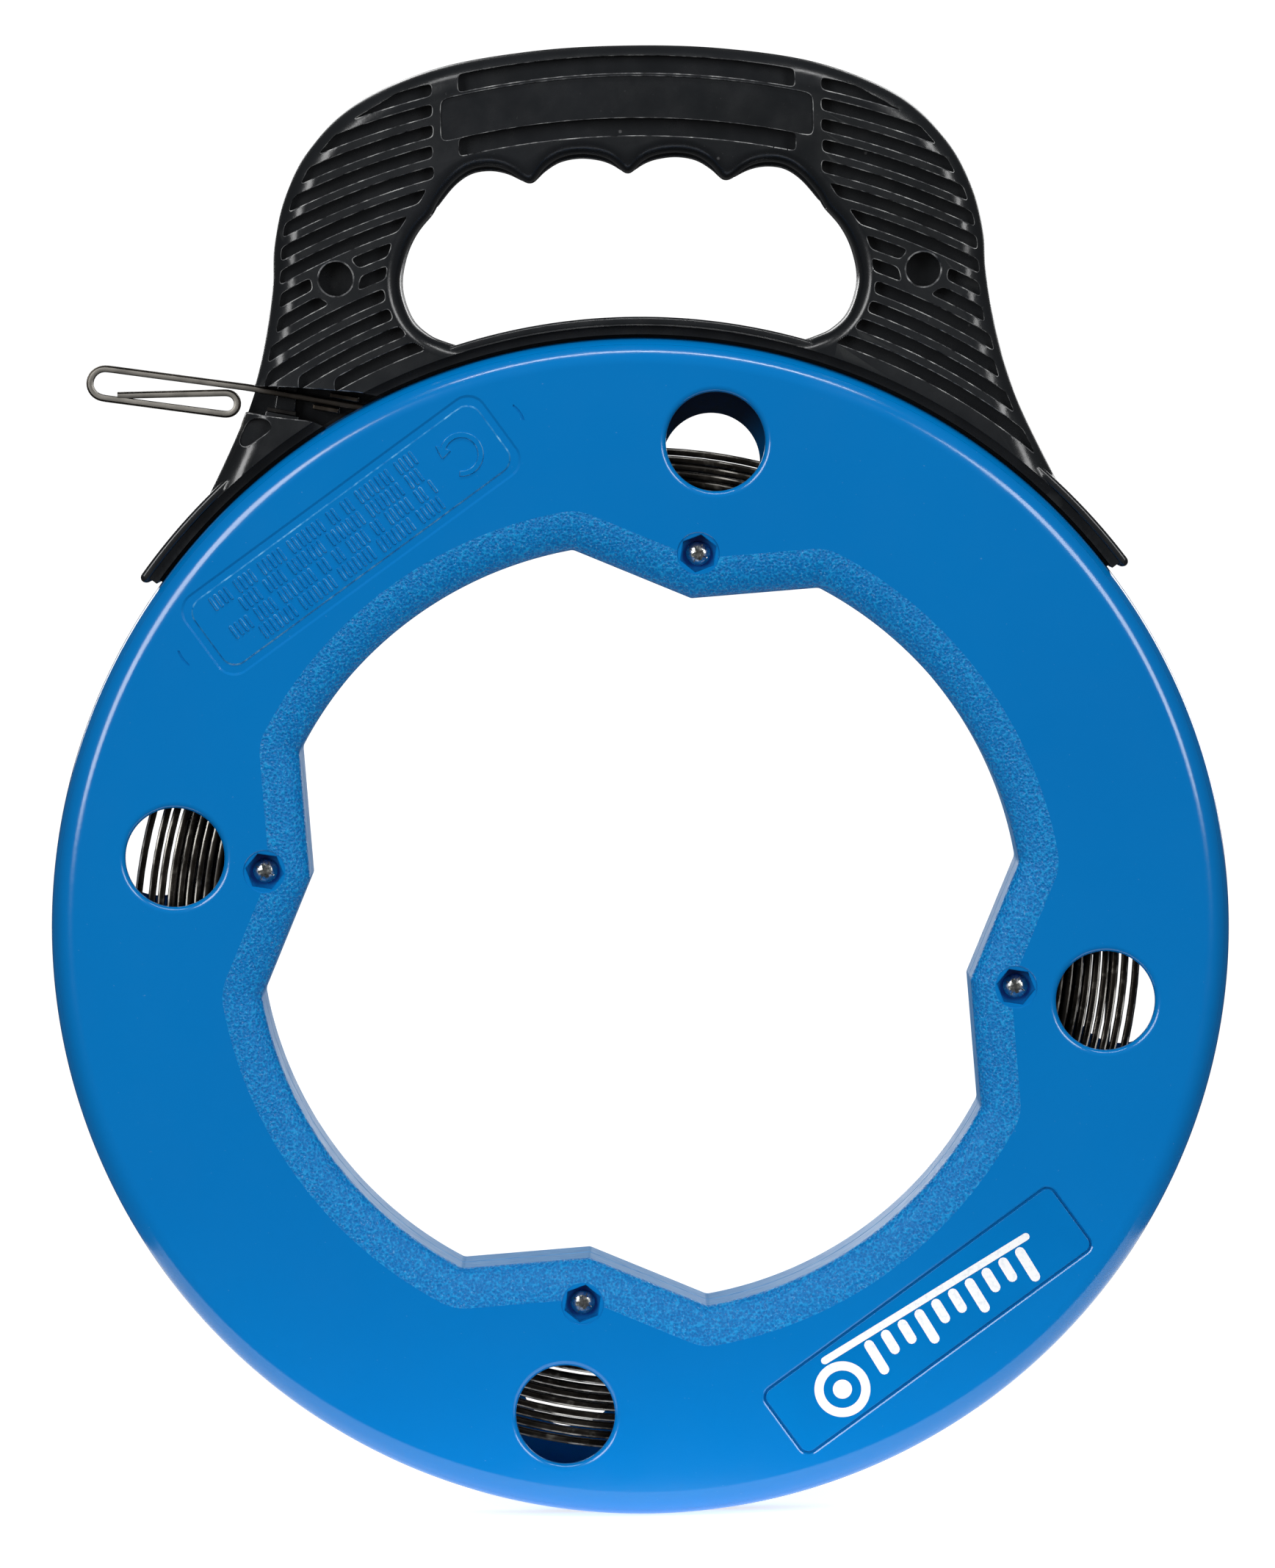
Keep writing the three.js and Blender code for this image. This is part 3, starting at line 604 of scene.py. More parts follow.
def directions(points):
    """Unit vectors along a run of points."""
    ahead = np.gradient(points, axis=0)
    return ahead / np.linalg.norm(ahead, axis=1)[:, None]


def ribbon(name, path):
    """The tape swept along a path: a rolled strip with round edges, its width along Y."""
    ahead = directions(path)
    wide = (0, 1, 0) - ahead * ahead[:, 1:2]
    wide /= np.linalg.norm(wide, axis=1)[:, None]
    thick = np.cross(ahead, wide)
    section = rectangle((0, 0), TAPE_W, TAPE_T, TAPE_CORNER, 0, 2)
    return loft(name, path[:, None] + wide[:, None] * section[:, :1] + thick[:, None] * section[:, 1:])


def mark_facets(obj, facets):
    """Gives the second material to these facets of a swept tape, along its whole length."""
    for polygon in obj.data.polygons[:-2]:
        if polygon.index % SECTION in facets:
            polygon.material_index = 1


CROSSING = 60 * DEG               # the tape crosses from lane to lane within this angle
COIL_START = 235 * DEG
PER_TURN = 150                    # points in each turn of the coil

# Each lane's place, its turns, the radii of its first turn, and how far its last turns stand off.
COIL_LANES = [
    {"y": -7.6, "turns": 10.2, "top": 93.4, "side": 94.6, "bottom": 98.8, "loose": (0.5, 0.2, 1.5)},
    {"y": 7.6, "turns": 6.6, "top": 93.4, "side": 94.4, "bottom": 98.4, "loose": ()},
    {"y": 0.0, "turns": 4.6, "top": 94.2, "side": 94.4, "bottom": 95.0, "loose": ()},
]


def lane_points(lane, angle, inward, draw):
    """One lane of the coil from an angle on, its radius growing or shrinking by a gap for each turn."""
    middle = lane["y"] == 0
    turns, loose = lane["turns"], lane["loose"]
    count = int(turns) + 2
    extra = [0.0 if middle else draw.choice((0.0, 0.1, 0.25, 0.4)) for _ in range(count)]
    phase = [draw.uniform(0, 2 * math.pi) for _ in range(count)]
    drift = [draw.uniform(-1.5, 1.5) * (0.15 if middle else 1) for _ in range(count + 2)]
    points = []
    for k in range(int(turns * PER_TURN) + 1):
        here = angle + 2 * math.pi * k / PER_TURN
        done = turns - k / PER_TURN if inward else k / PER_TURN
        up, across = math.sin(here), math.cos(here) ** 2
        radius = lane["side"] * across + (lane["top"] if up > 0 else lane["bottom"]) * (1 - across)
        for i in range(int(done) + 1):
            outer = i - int(turns) + len(loose)
            stand_off = loose[outer] if 0 <= outer < len(loose) else 0.12
            gap = 1.7 if middle else 1.7 + 0.16 * (1 - up) + stand_off * across
            gap += extra[i] * (0.5 + 0.5 * math.sin(here + phase[i])) * (1 - 0.6 * max(up, 0))
            radius += min(1.0, done - i) * gap
        whole, part = int(done), done - int(done)
        y = lane["y"] + drift[whole] * (1 - part) + drift[whole + 1] * part + 0.5 * math.sin(3 * here + whole)
        points.append((radius * math.cos(here), y, radius * math.sin(here)))
    return points


def coil_path():
    """The whole wound length: out along the front lane, in along the rear one and out along the middle.

    The coil hangs on the hub: tight at the top, looser at the bottom, and loosest at the sides.
    The last whole turns of a lane stand off the turn inside by the loose gaps, at the sides.
    """
    draw = random.Random(7)
    points = []
    angle = COIL_START
    for lane in COIL_LANES:
        points += lane_points(lane, angle, lane["y"] > 0, draw)
        angle += 2 * math.pi * int(lane["turns"] * PER_TURN) / PER_TURN + CROSSING
    return smoothed(spread_crossings(points), 3, False)


def spread_crossings(points):
    """Fills each jump from lane to lane with points on a smooth way round the axis."""
    steps = int(PER_TURN * CROSSING / (2 * math.pi))
    out = [np.array(points[0])]
    for point in points[1:]:
        last, point = out[-1], np.array(point)
        if np.linalg.norm(point - last) > 20:
            a0 = math.atan2(last[2], last[0])
            turn = (math.atan2(point[2], point[0]) - a0) % (2 * math.pi)
            r0, r1 = math.hypot(last[0], last[2]), math.hypot(point[0], point[2])
            for k in range(1, steps):
                t = k / steps
                ease = t * t * (3 - 2 * t)
                x, z = polar(r0 + (r1 - r0) * ease, a0 + turn * t)
                out.append(np.array([x, last[1] + (point[1] - last[1]) * ease, z]))
        out.append(point)
    return np.array(out)


def on_leader(x):
    """The point at x on the straight line along which the tape leaves."""
    touch = polar(LEADER_R, LEADER_ANGLE)
    return np.array([x, touch[1] + (touch[0] - x) / math.tan(LEADER_ANGLE)])


def leader_path():
    """The leaving end of the tape: its last bit on the coil, the straight run and the folded eye."""
    rise, out, bend, back, small, end, splay = 8.5 * DEG, 32.6, 3.4, 28.4, 2.5, 25.0, 9 * DEG
    leave = on_leader(EXIT_X)
    along = np.array([-math.cos(rise), math.sin(rise)])
    up_angle = QUARTER - rise
    up = polar(1, up_angle)
    bend_at = leave + out * along - bend * up
    small_at = bend_at - back * along - (bend - small) * up
    end_turn = up_angle + splay
    big = arc(bend_at, bend, up_angle, up_angle + math.pi, 20)
    tight = arc(small_at, small, up_angle - math.pi, end_turn, 20)
    last = tight[-1] + end * np.array([-math.sin(end_turn), math.cos(end_turn)])
    pieces = [
        arc((0, 0), LEADER_R, LEADER_START, LEADER_ANGLE, 16)[:-1],
        between(polar(LEADER_R, LEADER_ANGLE), leave, 40),
        between(leave, big[0], 12), big, between(big[-1], tight[0], 12), tight, between(tight[-1], last, 10),
    ]
    flat = [pieces[0]]
    for piece in pieces[1:]:
        flat.append(piece if np.linalg.norm(flat[-1][-1] - piece[0]) > 1e-6 else piece[1:])
    return with_y(smoothed(resampled(np.concatenate(flat), 0.6, False), 1.0, False), 0.0)


def between(a, b, steps):
    t = np.linspace(0, 1, steps + 1)[:, None]
    return np.asarray(a) * (1 - t) + np.asarray(b) * t


def resampled(points, spacing, closed=True):
    """The same line with evenly spaced points."""
    line = np.concatenate([points, points[:1]]) if closed else np.asarray(points)
    length = np.concatenate([[0], np.cumsum(np.linalg.norm(np.diff(line, axis=0), axis=1))])
    count = max(int(round(length[-1] / spacing)), 4)
    at = np.linspace(0, length[-1], count + 1)
    if closed:
        at = at[:-1]
    return np.stack([np.interp(at, length, line[:, i]) for i in range(line.shape[1])], 1)


def smoothed(points, sigma, closed=True):
    """Corners rounded by a moving average, sigma counted in point spacings."""
    reach = int(3 * sigma) + 1
    weights = np.exp(-0.5 * (np.arange(-reach, reach + 1) / sigma) ** 2)
    weights /= weights.sum()
    if closed:
        padded = np.concatenate([points[-reach:], points, points[:reach]])
    else:
        before = 2 * points[0] - points[1:reach + 1][::-1]
        after = 2 * points[-1] - points[-reach - 1:-1][::-1]
        padded = np.concatenate([before, points, after])
    return np.stack([np.convolve(padded[:, i], weights, "valid") for i in range(points.shape[1])], 1)


# ---------------------------------------------------------------- grip

GRIP_HALF = 15.0
GRIP_ROUND = 6.0
HAND_ROUND = 4.0
SHOE_OUT = 139.6
SHOE_STEP = 137.6
SHOE_IN = 135.6
SHOE_HALF = 14.0
SHOE_BAND_HALF = 11.0
SHOE_SPAN = 53.6 * DEG
NECK_HALF = 3.0
NECK_SPAN = 53.3 * DEG
FLANGE_IN = 127.8
FLANGE_OUT = 131.3
FLANGE_HALF = 8.0
RIB_OUTER_R = 197.0
RIB_PITCH = 4.57
GROOVE_W = 2.7
GROOVE_DEPTH = 4.0
LONG_GROOVE_W = 4.0
LONG_GROOVE_END_X = 38.3
PANEL_IN = 184.9
PANEL_OUT = 194.3
PANEL_SPAN = 12.9 * DEG
PANEL_RECESS = 0.6
GRIP_SCREW = np.array([66.9, 149.3])
GRIP_SCREW_RECESS_R = 3.9
GRIP_SCREW_FLOOR = 9.0
GRIP_TOP = 201.4
SCALLOP_CUSP_X = 22.5
SHELL_RAISE = 0.9

# One side of the grip's outer outline, from the shoe up to the top.
GRIP_SIDE = np.array([
    (97.4, 100.0), (92.9, 108.8), (88.3, 119), (85.0, 129), (82.8, 139), (81.4, 149),
    (80.9, 158), (78.3, 168.5), (72.7, 179), (62.2, 189), (44, 196.7), (22, 200.4),
])

# One side of the hand opening, from the shoe up to the first finger scallop.
HAND_SIDE = np.array([(45.4, 135.6), (49.8, 139.6), (52.2, 147), (51.2, 154), (48.6, 159.6), (44.8, 164)])

# Angles from the top, in degrees, where each concentric groove starts and ends.
GROOVES = [
    [(13.0, 16.9)], [(13.3, 20.9)], [(13.6, 23.1)], [(14.0, 24.8)], [(14.3, 26.1)], [(15.6, 27.1)],
    [(17.7, 28.0)], [(19.3, 22.7), (26.1, 28.9)], [(20.2, 22.6), (25.9, 30.1)], [(21.0, 31.9)],
    [(21.1, 33.4)], [(20.7, 36.0)], [(19.8, 39.5)],
]
SHORT_GROOVE_END = {11: 31.1, 12: 28.4}
BOSS_CLEARANCE = 5.7
SQUARE_ROWS = 5                   # the first rows start at an upright edge, the rest along the hand opening

CHANNEL = np.array([
    (-100, 125.6), (-87.2, 125.3), (-76.8, 124.8), (-62, 123.4), (-52, 121), (-62, 112),
    (-73.6, 117.1), (-81.3, 118.1), (-88.8, 119.4), (-100, 121),
])
MOUTH_POCKET = np.array([(-86.6, 117.4), (-82.0, 116.4), (-89.4, 111.4)])
MOUTH_POCKET_DEPTH = 3.0

TRIGGER_HALF = 5.0
TRIGGER_TOP = 178.0
TRIGGER_END_X = 44.3
FLANGE_T = 3.0
TRIGGER_FLANGE_HALF = 7.5
TRIGGER_FLANGE_X = 47.0
TRIGGER_TRAVEL = 2.5
TRIGGER_ROOF = 190.0
SPRING_X = 25.0
SPRING_R = 3.2
SPRING_LOW = TRIGGER_TOP + FLANGE_T + 0.2
SPRING_HIGH = TRIGGER_ROOF - 0.2
ARM_FRONT = 2.6
ARM_BACK = 5.6
ARM_W = 5.0
ARM_GAP = 0.6
ARM_POCKET_BACK = 6.3
ARM_LINE = np.array([
    (-44, 179.5), (-58, 179.5), (-67.5, 175.5), (-73, 167),
    (-75.6, 157), (-76.2, 146), (-78, 131), (-80, 117.5),
])
FOOT_DROP = 2.9
FOOT_T = 3.0
FOOT_RIGHT = -76.5
FOOT_LEFT = -84.0
PAD_T = 0.8
GUIDE_HALF = 5.0
GUIDE_T = 1.2
UPPER_GUIDE_X = (-62.5, -69.0)
LOWER_GUIDE_X = (-67.0, -73.0)


def mirrored(points):
    return np.asarray(points) * (-1, 1)


def through(points, steps=8):
    """A smooth line through the points, ends included (uniform Catmull-Rom)."""
    p = np.asarray(points, float)
    p = np.concatenate([p[:1], p, p[-1:]])
    t = np.linspace(0, 1, steps, endpoint=False)[:, None]
    out = []
    for a, b, c, d in zip(p[:-3], p[1:-2], p[2:-1], p[3:]):
        out.append(0.5 * (2 * b + (c - a) * t + (2 * a - 5 * b + 4 * c - d) * t ** 2
                          + (3 * b - a - 3 * c + d) * t ** 3))
    return np.concatenate([*out, p[-1:]])


def distance_to(points, line):
    """Distance of each point from a closed line."""
    a, b = line, np.roll(line, -1, 0)
    ab = b - a
    length2 = np.maximum((ab ** 2).sum(1), 1e-12)
    points = np.atleast_2d(points)
    t = ((points[:, None] - a) * ab).sum(2) / length2
    near = a + np.clip(t, 0, 1)[..., None] * ab
    return np.sqrt(((points[:, None] - near) ** 2).sum(2)).min(1)


def offset_by(outline, distance):
    """grown_by() for a big step: where the new line would fold over itself, it is drawn straight."""
    moved = grown_by(outline, distance)
    kept = distance_to(moved, outline) > abs(distance) - 0.03
    if kept.all():
        return moved
    at = np.arange(len(moved))
    return np.stack([np.interp(at, at[kept], moved[kept, i], period=len(moved)) for i in (0, 1)], 1)


def grip_outline():
    """The outer outline, closed far below the shoe, where the rim's cut takes it away."""
    below = np.array([(104, 86), (104, 60)])
    side = np.concatenate([GRIP_SIDE[::-1], [(102.2, 92.5)]])
    over = through(np.concatenate([mirrored(side)[::-1], [(0, GRIP_TOP)], side]), 12)
    return resampled(np.concatenate([over, below, mirrored(below)[::-1]]), 1.0)


def scallop_points(lift):
    """From the right cusp side to the left: four finger hollows as separate smooth runs."""
    cusp, near = SCALLOP_CUSP_X, lift * 0.8
    hollow_out = through([
        HAND_SIDE[-1], (43.2, 166.2 + lift), (39.6, 170.4 + lift), (35.8, 172.9 + lift), (31.5, 173.5 + lift),
        (27.5, 172.7 + near), (cusp + 1.2, 170.8), (cusp, 170.4),
    ], 6)
    hollow_in = through([
        (cusp, 170.4), (cusp - 1.2, 170.9), (19, 173.1 + near), (15.5, 175.2 + lift), (11, 176 + lift),
        (6.5, 175.5 + lift), (3.5, 174.4 + near), (1.1, 172.8), (0, 172.2),
    ], 6)
    right = np.concatenate([hollow_out[:-1], hollow_in])
    return np.concatenate([right, mirrored(right)[::-1][1:]])


def hand_outline():
    side = through(HAND_SIDE, 8)
    sill = arc((0, 0), SHOE_OUT - 0.4, 106.5 * DEG, 73.5 * DEG, 60)
    line = np.concatenate([side[:-1], scallop_points(SHELL_RAISE), mirrored(side)[::-1][1:], sill])
    return smoothed(resampled(line, 0.4), 2.4)


GRIP_LINE = grip_outline()
HAND_LINE = hand_outline()


def fall(distance, reach):
    """How far a rounded edge has fallen at a distance inside its outline."""
    short = np.clip(reach - distance, 0, reach)
    return reach - np.sqrt(reach ** 2 - short ** 2)


def surface_depth(points):
    """How far the grip's rounded face lies below its flat front, at points in its outline."""
    outer = fall(distance_to(points, GRIP_LINE), GRIP_ROUND)
    return np.maximum(outer, fall(distance_to(points, HAND_LINE), HAND_ROUND))


def cutter(name, outline, floor_y, flare=0.22):
    """A pocket cut into the grip's front, with a small flare that follows the rounded surface."""
    surface = -GRIP_HALF + surface_depth(outline)
    wide = grown_by(outline, flare)
    return stacked(name, (wide, -GRIP_HALF - 3), (wide, surface - 0.05), (outline, surface + flare),
                   (outline, floor_y))


def on_grip(r, angle):
    """A point at an angle from the top, to the right."""
    return np.array([r * math.sin(angle), r * math.cos(angle)])


def end_angle(r, near, measure, wanted):
    """The angle beside another where a measure takes the wanted value."""
    angles = near + np.linspace(-1.7, 1.7, 121) * DEG
    values = measure(np.stack([r * np.sin(angles), r * np.cos(angles)], 1)) - wanted
    cross = np.nonzero(np.diff(np.sign(values)))[0]
    if len(cross) == 0:
        return angles[np.argmin(abs(values))]
    k = cross[np.argmin(abs(angles[cross] - near))]
    share = values[k] / (values[k] - values[k + 1])
    return angles[k] + share * (angles[k + 1] - angles[k])


def groove_outline(r, width, start, end, start_rule, end_rule, corner=1.5):
    """A stretch of a concentric groove whose ends are cut along the rules' lines."""
    sides = []
    for edge in (r - width / 2, r + width / 2):
        ends = []
        for a, rule in ((start, start_rule), (end, end_rule)):
            wanted = rule(on_grip(r, a)[None])[0]
            if rule is off_boss:
                wanted = max(wanted, BOSS_CLEARANCE)
            ends.append(end_angle(edge, a, rule, wanted))
        angles = np.linspace(ends[0], ends[1], 60)
        sides.append(np.stack([edge * np.sin(angles), edge * np.cos(angles)], 1))
    line = resampled(np.concatenate([sides[1], sides[0][::-1]]), 0.25)
    return smoothed(line, corner / 0.5)


def upright(points):
    return np.atleast_2d(points)[:, 0]


def off_grip_edge(points):
    return distance_to(points, GRIP_LINE)


def off_hand(points):
    return distance_to(points, HAND_LINE)


def off_boss(points):
    return np.linalg.norm(np.atleast_2d(points) - GRIP_SCREW, axis=1)


def groove_outlines():
    """The outlines of all the short grooves."""
    found = []
    for row, runs in enumerate(GROOVES):
        r = RIB_OUTER_R - row * RIB_PITCH
        for run, (start, end) in enumerate(runs):
            start_rule = upright if row < SQUARE_ROWS else off_hand
            end_rule = off_grip_edge
            if len(runs) == 2:
                start_rule = off_boss if run else off_hand
                end_rule = off_grip_edge if run else off_boss
            found.append(groove_outline(r, GROOVE_W, start * DEG, end * DEG, start_rule, end_rule))
            if row in SHORT_GROOVE_END:
                end, end_rule = SHORT_GROOVE_END[row], upright
            left = groove_outline(r, GROOVE_W, start * DEG, end * DEG, start_rule, end_rule)
            found.append(mirrored(left))
    return found


def long_groove_outlines():
    found = []
    for r in (RIB_OUTER_R, PANEL_IN - 2.1):
        span = math.asin(LONG_GROOVE_END_X / r)
        found.append(groove_outline(r, LONG_GROOVE_W, -span, span, upright, upright, 1.5))
    return found


def panel_outline():
    middle = (PANEL_IN + PANEL_OUT) / 2
    return groove_outline(middle, PANEL_OUT - PANEL_IN, -PANEL_SPAN, PANEL_SPAN, upright, upright, 2.4)


GROOVE_LINES = groove_outlines() + long_groove_outlines()
PANEL_LINE = panel_outline()


def swept(name, section, span, steps, round_ends=0.0, middle=0.0):
    """A [radius, y] section carried round the reel's axis, to an angle on each side of a middle one."""
    section = np.asarray(section, float)
    centre = section.mean(0)
    stations = [(a, 1.0) for a in np.linspace(middle - span, middle + span, steps)]
    if round_ends:
        reach = round_ends / SHOE_OUT
        bends = [(reach * math.sin(t), math.cos(t)) for t in np.linspace(0, QUARTER, 6)[1:-1]]
        bends.append((reach, 0.15))
        before = [(-span - shift, size) for shift, size in bends[::-1]]
        stations = before + stations + [(span + shift, size) for shift, size in bends]
    rings = []
    for angle, size in stations:
        s = centre + (section - centre) * size
        rings.append(np.stack([s[:, 0] * math.sin(angle), s[:, 1], s[:, 0] * math.cos(angle)], 1))
    return loft(name, rings)


def shoe_bar_section():
    """The shoe's outer bar: a ridge with a rounded crest."""
    inner, outer, under = 0.5, 0.9, SHOE_STEP - 0.6
    crest = [(SHOE_STEP + 0.1 + inner * (1 - math.cos(t)), -SHOE_HALF + inner - inner * math.sin(t))
             for t in np.linspace(0, QUARTER, 5)]
    side = [(SHOE_OUT - outer + outer * math.sin(t), -SHOE_HALF + outer - outer * math.cos(t))
            for t in np.linspace(0.1, QUARTER, 6)]
    return [(under, -SEAM), (under, -SHOE_BAND_HALF + 0.5), (SHOE_STEP + 0.1, -SHOE_BAND_HALF),
            *crest, *side, (SHOE_OUT, -SEAM)]


def half_section(inner, outer, half):
    """A plain rectangle from one radius to another, on the front side of the seam."""
    return [(inner, -SEAM), (inner, -half), (outer, -half), (outer, -SEAM)]


def hand_ring(offset):
    return smoothed(offset_by(HAND_LINE, offset), 0.3 + 2.5 * offset)


def grip_body():
    """The grip's front half before the cuts: a rounded plate with the hand opening, shoe, neck and flange."""
    rounding = [
        (offset_by(GRIP_LINE, -offset), -GRIP_HALF + depth)
        for offset, depth in quarter_round(GRIP_ROUND, GRIP_ROUND, 10)
    ]
    body = stacked("grip", *rounding, (GRIP_LINE, -SEAM - 0.3), (offset_by(GRIP_LINE, -0.3), -SEAM))
    hollow = [
        (hand_ring(offset), -GRIP_HALF + depth) for offset, depth in quarter_round(HAND_ROUND, HAND_ROUND, 8)
    ]
    hand = stacked("hand", (hand_ring(HAND_ROUND), -GRIP_HALF - 2), *hollow, (HAND_LINE, 2))
    combine(body, hand, "DIFFERENCE")

    combine(body, swept("bar", shoe_bar_section(), SHOE_SPAN, 110, 1.4), "UNION")
    band = half_section(SHOE_IN - 1, SHOE_STEP, SHOE_BAND_HALF)
    combine(body, swept("band", band, SHOE_SPAN, 110), "UNION")
    combine(body, slab("rim", circle((0, 0), SHOE_IN, 480), -40, 2), "DIFFERENCE")
    # Beside the band, the grip stands off the case's rounded edge.
    beside = box_outline(SHOE_IN - 3, SHOE_STEP, -GRIP_HALF - 5, -SHOE_BAND_HALF)
    combine(body, swept("side", beside, 1.05, 120), "DIFFERENCE")
    neck = half_section(FLANGE_IN + 1, SHOE_IN + 1, NECK_HALF)
    combine(body, swept("neck", neck, NECK_SPAN, 90), "UNION")
    flange = half_section(FLANGE_IN, FLANGE_OUT, FLANGE_HALF)
    return combine(body, swept("flange", flange, NECK_SPAN, 90), "UNION")


def box_outline(x0, x1, z0, z1):
    return np.array([(x0, z0), (x1, z0), (x1, z1), (x0, z1)], float)


def strip(points, thickness):
    """Outline of an even strip along a run of points."""
    points = np.asarray(points, float)
    ahead = directions(points)
    side = np.stack([-ahead[:, 1], ahead[:, 0]], 1) * thickness / 2
    return np.concatenate([points + side, (points - side)[::-1]])


def beside_leader(x, dz):
    return on_leader(x) + (0, dz)


def guide_outlines(grow):
    """Two steel plates beside the tape where it crosses the rim."""
    clear = TAPE_T / 2 + 0.3 + GUIDE_T / 2
    plates = []
    for (inner, outer), dz in ((UPPER_GUIDE_X, clear), (LOWER_GUIDE_X, -clear)):
        ends = [beside_leader(inner + grow, dz), beside_leader(outer - grow, dz)]
        plates.append(strip(ends, GUIDE_T + 2 * grow))
    return plates


def foot_outline(drop, thickness, x0, x1):
    at = -TAPE_T / 2 - drop - thickness / 2
    return strip([beside_leader(x0, at), beside_leader(x1, at)], thickness)


def inside_cuts(rear):
    """Room for the trigger, its brake and the tape, from the middle plane."""
    slot_x, pocket_x, floor = TRIGGER_END_X + 1, TRIGGER_FLANGE_X + 1, TRIGGER_TOP - 0.3
    room = foot_outline(-0.8, FOOT_T + FOOT_DROP + 1.4, FOOT_RIGHT + 0.6, FOOT_LEFT - 0.6)
    cuts = [
        slab("slot", box_outline(-slot_x, slot_x, 158, floor + 1), 1, -TRIGGER_HALF - 0.5),
        slab("pocket", box_outline(-pocket_x, pocket_x, floor, TRIGGER_ROOF), 1, -TRIGGER_FLANGE_HALF - 0.5),
        slab("passage", strip([on_leader(-42), on_leader(-100)], 6), 1, -RIM_SLOT_HALF),
        slab("foot_room", room, 1, -ARM_POCKET_BACK if rear else -3.4),
    ]
    cuts += [slab("plate", outline, 1, -GUIDE_HALF - 0.3) for outline in guide_outlines(FIT_GAP)]
    channel = channel_line()
    if rear:
        for lift in (0, TRIGGER_TRAVEL):
            way = strip(arm_line() + (0, lift), ARM_W + 2 * ARM_GAP)
            cuts.append(slab("arm_way", way, 1, -ARM_POCKET_BACK))
        cuts.append(slab("channel", channel, 1, -ARM_POCKET_BACK))
    else:
        cuts.append(cutter("channel", channel, 1))
    return cuts


def channel_line():
    return smoothed(resampled(CHANNEL, 0.4), 1.5)


def face_cuts():
    """Grooves, panel and screw recesses in the outer face."""
    cuts = [cutter("groove", outline, -GRIP_HALF + GROOVE_DEPTH) for outline in GROOVE_LINES]
    return [joined("grooves", cuts), cutter("panel", PANEL_LINE, -GRIP_HALF + PANEL_RECESS)]


def mouth_pocket_line():
    line = resampled(MOUTH_POCKET, 0.25)
    return smoothed(offset_by(line, 0.9), 4.0)


def grip_half(rear):
    body = grip_body()
    for cut in inside_cuts(rear) + face_cuts():
        combine(body, cut, "DIFFERENCE")
    chamfer = 0.35
    for sign in (-1, 1):
        at = GRIP_SCREW * (sign, 1)
        wall, mouth = circle(at, GRIP_SCREW_RECESS_R), circle(at, GRIP_SCREW_RECESS_R + chamfer)
        recess = stacked("recess", (mouth, -GRIP_HALF - 2), (mouth, -GRIP_HALF),
                         (wall, -GRIP_HALF + chamfer), (wall, -GRIP_SCREW_FLOOR))
        combine(body, recess, "DIFFERENCE")
        bore_end = -GRIP_SCREW_FLOOR - 1 if rear else -GRIP_SCREW_FLOOR + 1.4
        combine(body, slab("bore", circle(at, BORE_R, 32), 1, bore_end), "DIFFERENCE")
    if rear:
        # A thin web keeps the neck whole behind the tape.
        web = box_outline(FLANGE_IN + 1, SHOE_IN + 0.25, -2.9, -2.0)
        combine(body, swept("web", web, 12 * DEG, 40, middle=-32 * DEG), "UNION")
    else:
        pocket = mouth_pocket_line()
        combine(body, cutter("mouth", pocket, -GRIP_HALF + MOUTH_POCKET_DEPTH), "DIFFERENCE")
    return body


def to_rear(obj):
    """Mirrors a piece drawn as a front half into the rear half."""
    points = coordinates(obj)
    points[:, 1] *= -1
    obj.data.vertices.foreach_set("co", points.astype(np.float32).ravel())
    obj.data.flip_normals()
    obj.data.update()
    return obj


def rounded_slab(name, outline, y0, y1, across, steps=3):
    """A slab whose faces have rounded edges."""
    curve = quarter_round(across, across, steps)
    levels = [(offset_by(outline, -offset), y0 + depth) for offset, depth in curve]
    levels += [(offset_by(outline, -offset), y1 - depth) for offset, depth in curve[::-1]]
    return stacked(name, *levels)


def trigger_bar():
    """The finger bar with its flange and spring pegs."""
    under = scallop_points(0)
    low_cusps = np.abs(np.abs(under[:, 0]) - SCALLOP_CUSP_X) < 1.5
    under = under[~(low_cusps | (np.abs(under[:, 0]) < 1.2))]
    under = under[np.abs(under[:, 0]) < TRIGGER_END_X - 0.2]
    line = np.concatenate([[(TRIGGER_END_X, 166.0)], under, [(-TRIGGER_END_X, 166.0)],
                           [(-TRIGGER_END_X, TRIGGER_TOP + 1), (TRIGGER_END_X, TRIGGER_TOP + 1)]])
    body = rounded_slab("bar", smoothed(resampled(line, 0.5), 0.8), -TRIGGER_HALF, TRIGGER_HALF, 0.9, 4)
    top = TRIGGER_TOP + FLANGE_T
    flange = resampled(box_outline(-TRIGGER_FLANGE_X, TRIGGER_FLANGE_X, TRIGGER_TOP, top), 1.0)
    combine(body, rounded_slab("flange", flange, -TRIGGER_FLANGE_HALF, TRIGGER_FLANGE_HALF, 0.4, 2), "UNION")
    peg_r, peg_tip_r = 1.6, 1.2
    for sign in (-1, 1):
        profile = [(peg_r, top - 1), (peg_r, top + 2.5), (peg_tip_r, top + 3)]
        peg = upright_loft("peg", profile, sign * SPRING_X)
        combine(body, peg, "UNION")
    notch = slab("notch", box_outline(-60, -41, 176.5, 183), ARM_FRONT - 0.3, TRIGGER_FLANGE_HALF + 1)
    return combine(body, notch, "DIFFERENCE")


def upright_loft(name, profile, x, steps=24):
    """A small round solid about an upright line. The profile is [radius, z], from end to end."""
    angles = np.linspace(0, 2 * math.pi, steps, endpoint=False)
    return loft(name, [
        np.stack([x + r * np.cos(angles), r * np.sin(angles), np.full(steps, z)], 1) for r, z in profile
    ])


def arm_line():
    return resampled(through(ARM_LINE, 6), 1.0, False)


